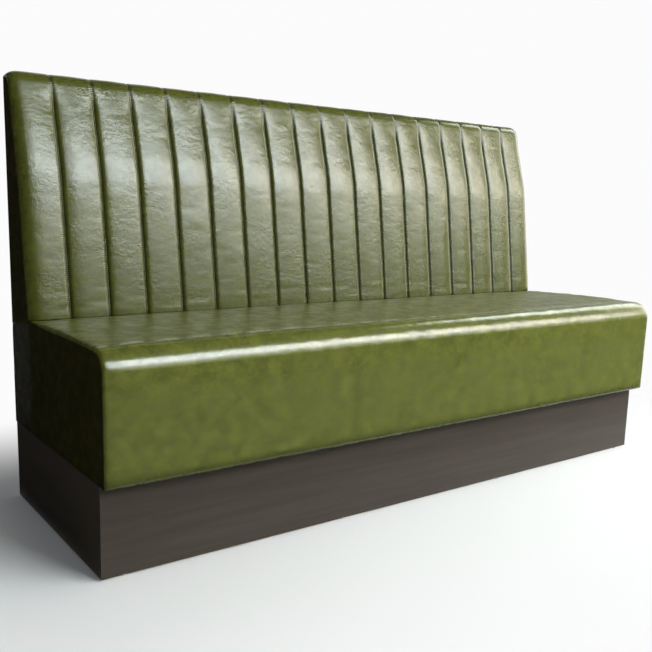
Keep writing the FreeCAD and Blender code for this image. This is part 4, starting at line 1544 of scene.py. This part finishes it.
    def stretch(self, grid: np.ndarray) -> np.ndarray:
        """How the filling pushes the wrap out between its sewn ends.

        Args:
            grid: The wrap's points, a row for each step from the rear to the underside.

        Returns:
            The moves of the wrap's points.
        """
        rows = np.append(np.arange(0, len(grid) - 1, self.coarse_rows), len(grid) - 1)
        columns = np.append(np.arange(0, grid.shape[1] - 1, self.coarse_columns), grid.shape[1] - 1)
        coarse = grid[rows][:, columns]
        sewn = np.zeros(coarse.shape[:2], bool)
        sewn[:self.sewn_rear_rows] = sewn[-self.sewn_under_rows:] = True
        sewn[:, :self.sewn_end_columns] = sewn[:, -self.sewn_end_columns:] = True
        move = self.cover.moves(coarse, sewn, Vector((0.0, 0.0, 1.0)))
        move[sewn] = 0.0
        fine = refine(move, columns, grid.shape[1], 1, self.coarse_columns)
        return refine(fine, rows, len(grid), 0, self.coarse_rows)

    def shine(self, points: np.ndarray) -> np.ndarray:
        """How far use has polished the cover: wholly on the nose, fading over the top and the border.

        Args:
            points: The wrap's points.

        Returns:
            The shine at each, from 0 to 1.
        """
        behind = np.maximum(0.0, points[..., 1] - self.bench.front - self.nose_radius)
        below = np.maximum(0.0, self.bench.seat_height - self.crown - self.nose_radius - points[..., 2])
        border = self.border_shine + (1 - self.border_shine) * np.exp(-(below / self.border_reach) ** 2)
        return border * np.exp(-(behind / self.shine_reach) ** 2)

    def build_pad(self) -> Piece:
        """Builds the seat's wrap with its filling.

        Returns:
            The closed piece.
        """
        x, drawn = self.columns()
        visible = self.wrap_rows(x, drawn)
        visible = self.soften(visible + self.stretch(visible))
        points = np.concatenate([visible, self.inner_rows(x)])
        made = closed_loop_object("seat_pad", points, self.leather)
        outward(made)
        point_attribute(made, "nose_shine", self.shine(points))
        # Marks the lowest band of the border, where the seat's finish paints shade.
        low = self.under + self.foot_radius + self.foot_shade
        point_attribute(made, "painted_under_shade", np.clip((low - points[..., 2]) / self.foot_shade, 0, 1))
        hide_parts("seat_cover", "seat_foam", "front_border_foam")
        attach(made, BODY)
        return made

    def build_end(self, side: Side) -> Piece:
        """Builds one end panel, from the wrap's edge and the ledge down to the plinth.

        Args:
            side: The end that it is on.

        Returns:
            The panel.
        """
        bench = self.bench
        column = 0 if side is Side.LEFT else -1
        upper = self.wrap_rows(*self.columns())[:, column, 1:]
        nose_end = np.argmax(upper[:, 1] < bench.seat_height - self.nose_radius - self.panel_overlap)
        rear_corner = (bench.rear - bench.rear_panel, self.ledge_rear)
        inner_corner = (self.rear_y + self.panel_step, self.ledge_front)
        upper = np.concatenate([[rear_corner, inner_corner], upper[:nose_end]])
        lower = np.column_stack([upper[:, 0], np.full(len(upper), bench.plinth_height)])
        return self.panel.build("seat", side, upper, lower, bench, self.end_leather)

    def build_end_stitches(self) -> Piece:
        """Builds the topstitches just inside the top and front edges of both end panels.

        Returns:
            The stitches of both ends as one piece.
        """
        edge = self.wrap_rows(*self.columns())[:, 0, 1:]
        along = np.gradient(edge, axis=0)
        along /= np.maximum(np.linalg.norm(along, axis=1, keepdims=True), TINY)
        line = edge + self.stitch_drop * np.column_stack([-along[:, 1], along[:, 0]])
        stop = np.argmax(line[:, 1] < self.bench.plinth_height + 2 * self.stitch_drop)
        lines = side_lines(line[:stop], self.bench.half - self.stitch_inset)
        made = self.stitch.build("seat_end_stitches", lines, self.end_thread)
        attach(made, BODY)
        return made

    def build(self) -> None:
        """Builds and dresses every piece of the seat."""
        report(self.build_pad())
        report(self.build_end_stitches())
        for side in Side:
            report(self.build_end(side))


@dataclass
class Carcass:
    """The hard pieces that the frame holds: plinth, timber, rear panels, glides and fastenings."""

    finishes: dict[str, Material]
    staple: RepeatAlongPath = RepeatAlongPath(11, pitch=0.075, length=0.011, radius=0.0006, tilt=0.12)
    staple_edge: float = 0.010
    staple_rise: float = 0.0002

    def dress_nodes(self) -> None:
        """Gives each node of the frame the finish of its record slot."""
        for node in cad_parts.values():
            for place in node.material_slots:
                place.material = self.finishes[place.material.name]

    def build_staples(self) -> Piece:
        """Builds the staples that hold the two rear panels along their edges.

        Returns:
            All the staples as one piece.
        """
        lines = []
        for name in ("back_rear_panel", "seat_rear_panel"):
            low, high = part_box(name)
            left, right = low.x + self.staple_edge, high.x - self.staple_edge
            bottom, top = low.z + self.staple_edge, high.z - self.staple_edge
            y = high.y + self.staple_rise
            corners = [(left, y, bottom), (right, y, bottom), (right, y, top), (left, y, top)]
            lines += [np.array(ends) for ends in zip(corners, corners[1:] + corners[:1])]
        made = self.staple.build("rear_panel_staples", lines, self.finishes[Slot.STEEL.value])
        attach(made, BODY)
        return made

    def build(self) -> None:
        """Dresses the frame's nodes and adds the staples."""
        self.dress_nodes()
        report(self.build_staples())


@dataclass(frozen=True)
class Lamp:
    """A rectangular lamp: its place, the point it faces, its width and height, its watts and colour."""

    name: str
    place: Place
    aim: Place
    size: Point
    power: float
    colour: Colour
    use: Use

    def hang(self) -> None:
        """Hangs the lamp where the camera doesn't see it."""
        data = bpy.data.lights.new(self.name, "AREA")
        data.shape = "RECTANGLE"
        data.size, data.size_y = self.size
        data.energy = self.power
        data.color = self.colour
        lamp = bpy.data.objects.new(self.name, data)
        facing = (Vector(self.aim) - Vector(self.place)).to_track_quat("-Z", "Y")
        lamp.matrix_world = Matrix.Translation(self.place) @ facing.to_matrix().to_4x4()
        lamp.visible_camera = False
        lamp.visible_glossy = self.use is Use.GLOSS
        lamp.visible_diffuse = self.use is Use.LIGHT
        bpy.context.scene.collection.objects.link(lamp)


@dataclass(frozen=True)
class Card:
    """A bright, upright stretch of the reflected wall, given by its edges and its radiance."""

    name: str
    sides: Span
    heights: Span
    radiance: float
    colour: Colour

    def lamp(self, y: float) -> Lamp:
        """Turns the card into a lamp that only gloss shows.

        Args:
            y: Where the wall stands.

        Returns:
            The lamp, facing the bench squarely.
        """
        width, height = self.sides[1] - self.sides[0], self.heights[1] - self.heights[0]
        x, z = sum(self.sides) / 2, sum(self.heights) / 2
        power = self.radiance * math.pi * width * height
        return Lamp(self.name, (x, y, z), (x, 0.0, z), (width, height), power, self.colour, Use.GLOSS)


@dataclass(frozen=True)
class Flag:
    """A dark cloth that only gloss shows, given by its corners."""

    name: str
    corners: tuple[Place, ...]

    @classmethod
    def upright(cls, name: str, start: Point, end: Point, height: float, foot: float = 0.002) -> "Flag":
        """A flag that stands along a line, up to a height."""
        return cls(name, ((*start, foot), (*end, foot), (*end, height), (*start, height)))

    @classmethod
    def level(cls, name: str, low: Point, high: Point, height: float) -> "Flag":
        """A flag that lies level over a rectangle."""
        corners = (low, (high[0], low[1]), high, (low[0], high[1]))
        return cls(name, tuple((*corner, height) for corner in corners))

    def hang(self, cloth: Material) -> None:
        """Hangs the flag where only gloss shows it.

        Args:
            cloth: Its finish.
        """
        flag = mesh_object(self.name, np.array(self.corners), [(0, 1, 2, 3)], cloth)
        flag.visible_camera = False
        flag.visible_shadow = False
        flag.visible_diffuse = False


COOL, GREEN, NEUTRAL = (0.90, 0.97, 1.0), (0.93, 1.0, 0.95), (0.97, 1.0, 0.95)
SKY, SUN, WARM = (0.86, 0.93, 1.0), (1.0, 0.84, 0.60), (1.0, 0.93, 0.78)


@dataclass
class Studio:
    """What stands round the bench: a camera at the photograph's angle, a pale floor, lamps and flags.

    Plain lamps light the bench. Cards and flags show only in its gloss, where the photograph's gloss
    shows a window, a wall, a door and dark parts of a room.
    """

    image_size: float = 652.0
    focal_pixels: float = 765.387
    centre_pixel: Point = (264.894, 342.953)
    camera_place: Place = (-1.41906, -1.61681, 0.71996)
    azimuth: float = 0.58691
    elevation: float = -0.16362
    roll: float = 0.01559
    sensor: float = 36.0
    clip: Span = (0.05, 100.0)
    backdrop: Colour = (0.97, 0.97, 0.97)
    ambient: Colour = (0.17, 0.18, 0.19)
    floor_half: float = 40.0
    floor_colours: tuple[Colour, Colour] = ((0.95, 0.95, 0.95), (0.97, 0.97, 0.97))
    floor_scale: float = 3.0
    floor_roughness: float = 0.9
    floor_specular: float = 0.1
    footprint: Place = (0.9, 0.3, 0.0)
    floor_fade: Span = (0.05, 0.80)
    weave_scale: float = 400.0
    cloth_roughness: float = 0.95
    black: tuple[Colour, Colour] = ((0.012, 0.012, 0.012), (0.02, 0.02, 0.02))
    grey: tuple[Colour, Colour] = ((0.3, 0.3, 0.3), (0.4, 0.4, 0.4))
    black_flags: tuple[Flag, ...] = (
        Flag.upright("flag_rear_left", (-2.7, 1.1), (-0.93, 1.1), 2.6),
        Flag.upright("flag_left", (-2.7, -4.5), (-2.7, 1.1), 3.95),
        Flag.upright("flag_front", (-2.7, -3.6), (0.0, -4.3), 3.95),
        Flag.upright("flag_low", (0.0, -4.3), (7.0, -4.3), 1.7),
        Flag.upright("flag_low_right", (7.0, -4.3), (7.0, -0.6), 1.7),
        Flag.level("flag_ceiling", (-3.0, -4.4), (7.0, 2.2), 3.95),
        Flag.level("flag_floor_front", (-2.7, -4.4), (7.0, -0.47), 0.004),
        Flag.level("flag_floor_left", (-2.7, -0.47), (-0.905, 1.1), 0.004),
    )
    grey_flag: Flag = Flag.upright("flag_rear_right", (1.0, 1.15), (4.6, 1.15), 2.2)
    window_light: Lamp = Lamp(
        "window_front", (2.45, -3.1, 2.48), (1.2, 0.2, 0.75), (5.0, 1.35), 250.0, COOL, Use.LIGHT
    )
    card_y: float = -3.2
    cards: tuple[Card, ...] = (
        Card("window_edge_card", (-1.3, -0.1), (1.90, 3.56), 5.0, SKY),
        Card("window_left_card", (-0.1, 1.8), (1.90, 3.56), 24.5, SKY),
        Card("window_middle_card", (1.8, 3.7), (1.90, 3.56), 21.0, (1.0, 1.0, 0.95)),
        Card("window_right_card", (3.7, 6.6), (1.90, 3.56), 13.5, (1.0, 0.92, 0.82)),
        Card("wall_high_card", (-0.1, 5.0), (1.35, 1.90), 7.0, NEUTRAL),
        Card("wall_low_card", (-0.1, 5.0), (0.75, 1.35), 2.6, NEUTRAL),
    )
    lamps: tuple[Lamp, ...] = (
        Lamp("window_side", (4.5, -0.8, 1.3), (0.0, 0.1, 0.75), (2.6, 1.6), 36.0, SUN, Use.LIGHT),
        Lamp("side_low_card", (4.5, -0.6, 1.17), (0.0, 0.1, 1.17), (2.2, 1.65), 45.0, WARM, Use.GLOSS),
        Lamp("side_high_card", (4.5, -0.4, 2.4), (0.0, 0.1, 2.4), (1.8, 0.8), 7.0, WARM, Use.GLOSS),
        Lamp("door_low_card", (3.0, 0.03, 1.85), (0.4, 0.03, 1.85), (0.95, 0.7), 10.5, GREEN, Use.GLOSS),
        Lamp("door_high_card", (3.0, 0.03, 2.8), (0.4, 0.03, 2.8), (0.95, 1.2), 32.0, GREEN, Use.GLOSS),
        Lamp("ceiling", (0.4, -0.9, 3.2), (0.1, -0.1, 0.4), (2.6, 1.6), 22.0, WARM, Use.LIGHT),
    )

    def set_camera(self) -> None:
        """Stands the camera where the photograph was taken from."""
        data = bpy.data.cameras.new("camera")
        data.sensor_width = self.sensor
        data.lens = self.sensor * self.focal_pixels / self.image_size
        data.shift_x = (self.image_size / 2 - self.centre_pixel[0]) / self.image_size
        data.shift_y = (self.centre_pixel[1] - self.image_size / 2) / self.image_size
        data.clip_start, data.clip_end = self.clip
        camera = bpy.data.objects.new("camera", data)
        flat, rise = math.cos(self.elevation), math.sin(self.elevation)
        forward = Vector((math.sin(self.azimuth) * flat, math.cos(self.azimuth) * flat, rise))
        level_right = Vector((math.cos(self.azimuth), -math.sin(self.azimuth), 0.0))
        level_up = level_right.cross(forward)
        right = level_right * math.cos(self.roll) + level_up * math.sin(self.roll)
        up = level_up * math.cos(self.roll) - level_right * math.sin(self.roll)
        turn = Matrix((right, up, -forward)).transposed()
        camera.matrix_world = Matrix.Translation(self.camera_place) @ turn.to_4x4()
        bpy.context.scene.collection.objects.link(camera)
        bpy.context.scene.camera = camera

    def set_world(self) -> None:
        """Lights the room softly, in front of a pale backdrop."""
        world = bpy.data.worlds.new("studio")
        bpy.context.scene.world = world
        world.use_nodes = True
        world.node_tree.nodes.clear()
        sketch = NodeSketch(world.node_tree)
        room = sketch.add("ShaderNodeBackground", {"Color": (*self.ambient, 1.0)}).outputs[0]
        pale = sketch.add("ShaderNodeBackground", {"Color": (*self.backdrop, 1.0)}).outputs[0]
        both = sketch.add("ShaderNodeMixShader", {0: sketch.seen_rays(), 1: room, 2: pale}).outputs[0]
        sketch.add("ShaderNodeOutputWorld", {"Surface": both})

    def matt_finish(
        self, name: str, scale: float, colours: tuple[Colour, Colour], roughness: float, specular: float
    ) -> tuple[Material, NodeSketch, bpy.types.Node]:
        """Builds a matt finish with a faint pattern.

        Args:
            name: The finish's name.
            scale: The pattern's scale.
            colours: Its two colours.
            roughness: Its roughness.
            specular: Its specular level.

        Returns:
            The finish, a sketch of its tree and its shader.
        """
        material, sketch, shader = new_material(name)
        shade = sketch.blend(sketch.noise(sketch.place(), scale), *colours)
        sketch.fill(shader, {"Base Color": shade, "Roughness": roughness, "Specular IOR Level": specular})
        return material, sketch, shader

    def lay_floor(self) -> None:
        """Lays a plain pale floor that melts into the backdrop away from the bench."""
        material, sketch, shader = self.matt_finish(
            "pale_floor", self.floor_scale, self.floor_colours, self.floor_roughness, self.floor_specular
        )
        surface = shader.outputs[0].links[0].to_socket
        spread = sketch.vector("ABSOLUTE", sketch.place())
        outside = sketch.vector("MAXIMUM", sketch.vector("SUBTRACT", spread, self.footprint))
        distance = sketch.add("ShaderNodeVectorMath", {0: outside}, operation="LENGTH").outputs["Value"]
        share = sketch.math("MULTIPLY", sketch.ramp(distance, self.floor_fade), sketch.seen_rays())
        pale = sketch.add("ShaderNodeEmission", {"Color": (*self.backdrop, 1.0)}).outputs[0]
        both = sketch.add("ShaderNodeMixShader", {0: share, 1: shader.outputs[0], 2: pale}).outputs[0]
        sketch.tree.links.new(both, surface)
        half = self.floor_half
        corners = np.array([(-half, -half, 0), (half, -half, 0), (half, half, 0), (-half, half, 0)])
        mesh_object("floor", corners, [(0, 1, 2, 3)], material)

    def hang_flags(self) -> None:
        """Stands dark cloths round the bench that only its gloss shows, as a furnished room would."""
        scale, roughness = self.weave_scale, self.cloth_roughness
        black, _, _ = self.matt_finish("black_cloth", scale, self.black, roughness, 0.0)
        grey, _, _ = self.matt_finish("grey_cloth", scale, self.grey, roughness, 0.0)
        for flag in self.black_flags:
            flag.hang(black)
        self.grey_flag.hang(grey)

    def build(self) -> None:
        """Sets up everything round the bench."""
        self.set_camera()
        self.set_world()
        self.lay_floor()
        self.hang_flags()
        for lamp in (self.window_light, *[card.lamp(self.card_y) for card in self.cards], *self.lamps):
            lamp.hang()
        bpy.context.scene.view_settings.view_transform = "Standard"


FLAT_COVER = {
    "coat": 0.0, "wrinkle_scale": (26.0, 26.0, 40.0), "wrinkle_depth": 0.00035, "crackle_depth": 0.00012,
}
FINISHES = {
    "fluted_leatherette": Leatherette(
        "flute_leatherette", (0.092, 0.098, 0.018), (0.054, 0.060, 0.009), seams=SeamPricksAndShade()
    ),
    "seat_leatherette": Leatherette(
        "seat_leatherette", (0.140, 0.149, 0.028), (0.071, 0.082, 0.012), 0.38, specular=0.38, wear_and_shade=WearAndPaintedShade(),
        **FLAT_COVER,
    ),
    # Painted shade: the ends take a darker, browner copy of the olive leatherette in place of the shade they
    # stand in.
    "end_leatherette": Leatherette(
        "end_leatherette", (0.040, 0.033, 0.004), (0.026, 0.022, 0.002), 0.5, specular=0.15, **FLAT_COVER
    ),
    "plinth_laminate": Board(
        "plinth_laminate", (0.058, 0.046, 0.035), (0.046, 0.036, 0.026), (3.0, 3.0, 60.0), 0.36, specular=0.22
    ),
    "rear_panel_board": Board(
        "hardboard", (0.075, 0.052, 0.034), (0.05, 0.034, 0.022), (90.0, 90.0, 90.0), 0.55
    ),
    "plywood": Board("plywood", (0.56, 0.42, 0.26), (0.42, 0.29, 0.16), (4.0, 40.0, 40.0), 0.6),
    "glide_nylon": Plain("glide_nylon", (0.75, 0.74, 0.70), 0.45),
    "zinc_steel": Plain("zinc_steel", (0.62, 0.62, 0.60), 0.3, metal=1.0),
    "foam": Plain("cut_foam", (0.75, 0.72, 0.60), 0.8),
    "wadding": Plain("wadding", (0.85, 0.85, 0.83), 0.9),
}
THREAD = Plain("olive_thread", (0.12, 0.13, 0.045), 0.6)
END_THREAD = Plain("dark_thread", (0.030, 0.028, 0.012), 0.6)


def report(piece: Piece) -> None:
    """Logs a finished piece with its size.

    Args:
        piece: The piece.
    """
    corners = np.array(piece.bound_box)
    sides = " x ".join("%.0f" % (MILLIMETRES * side) for side in np.ptp(corners, axis=0))
    LOG.info("%s: %d faces, %s mm", piece.name, len(piece.data.polygons), sides)


def main() -> None:
    """Builds the dressed bench."""
    logging.basicConfig(level=logging.INFO, format="%(message)s", stream=sys.stdout)
    Studio().build()
    finishes = {slot: finish.material() for slot, finish in FINISHES.items()}
    flutes, seat, ends = (finishes[slot.value] for slot in (Slot.FLUTES, Slot.SEAT, Slot.ENDS))
    thread, end_thread = THREAD.material(), END_THREAD.material()
    bench = Bench()
    Carcass(finishes).build()
    SeatPad(bench, seat, ends, end_thread).build()
    FlutedBack(bench, flutes, ends, thread, end_thread).build()


if __name__ == "__main__":
    main()
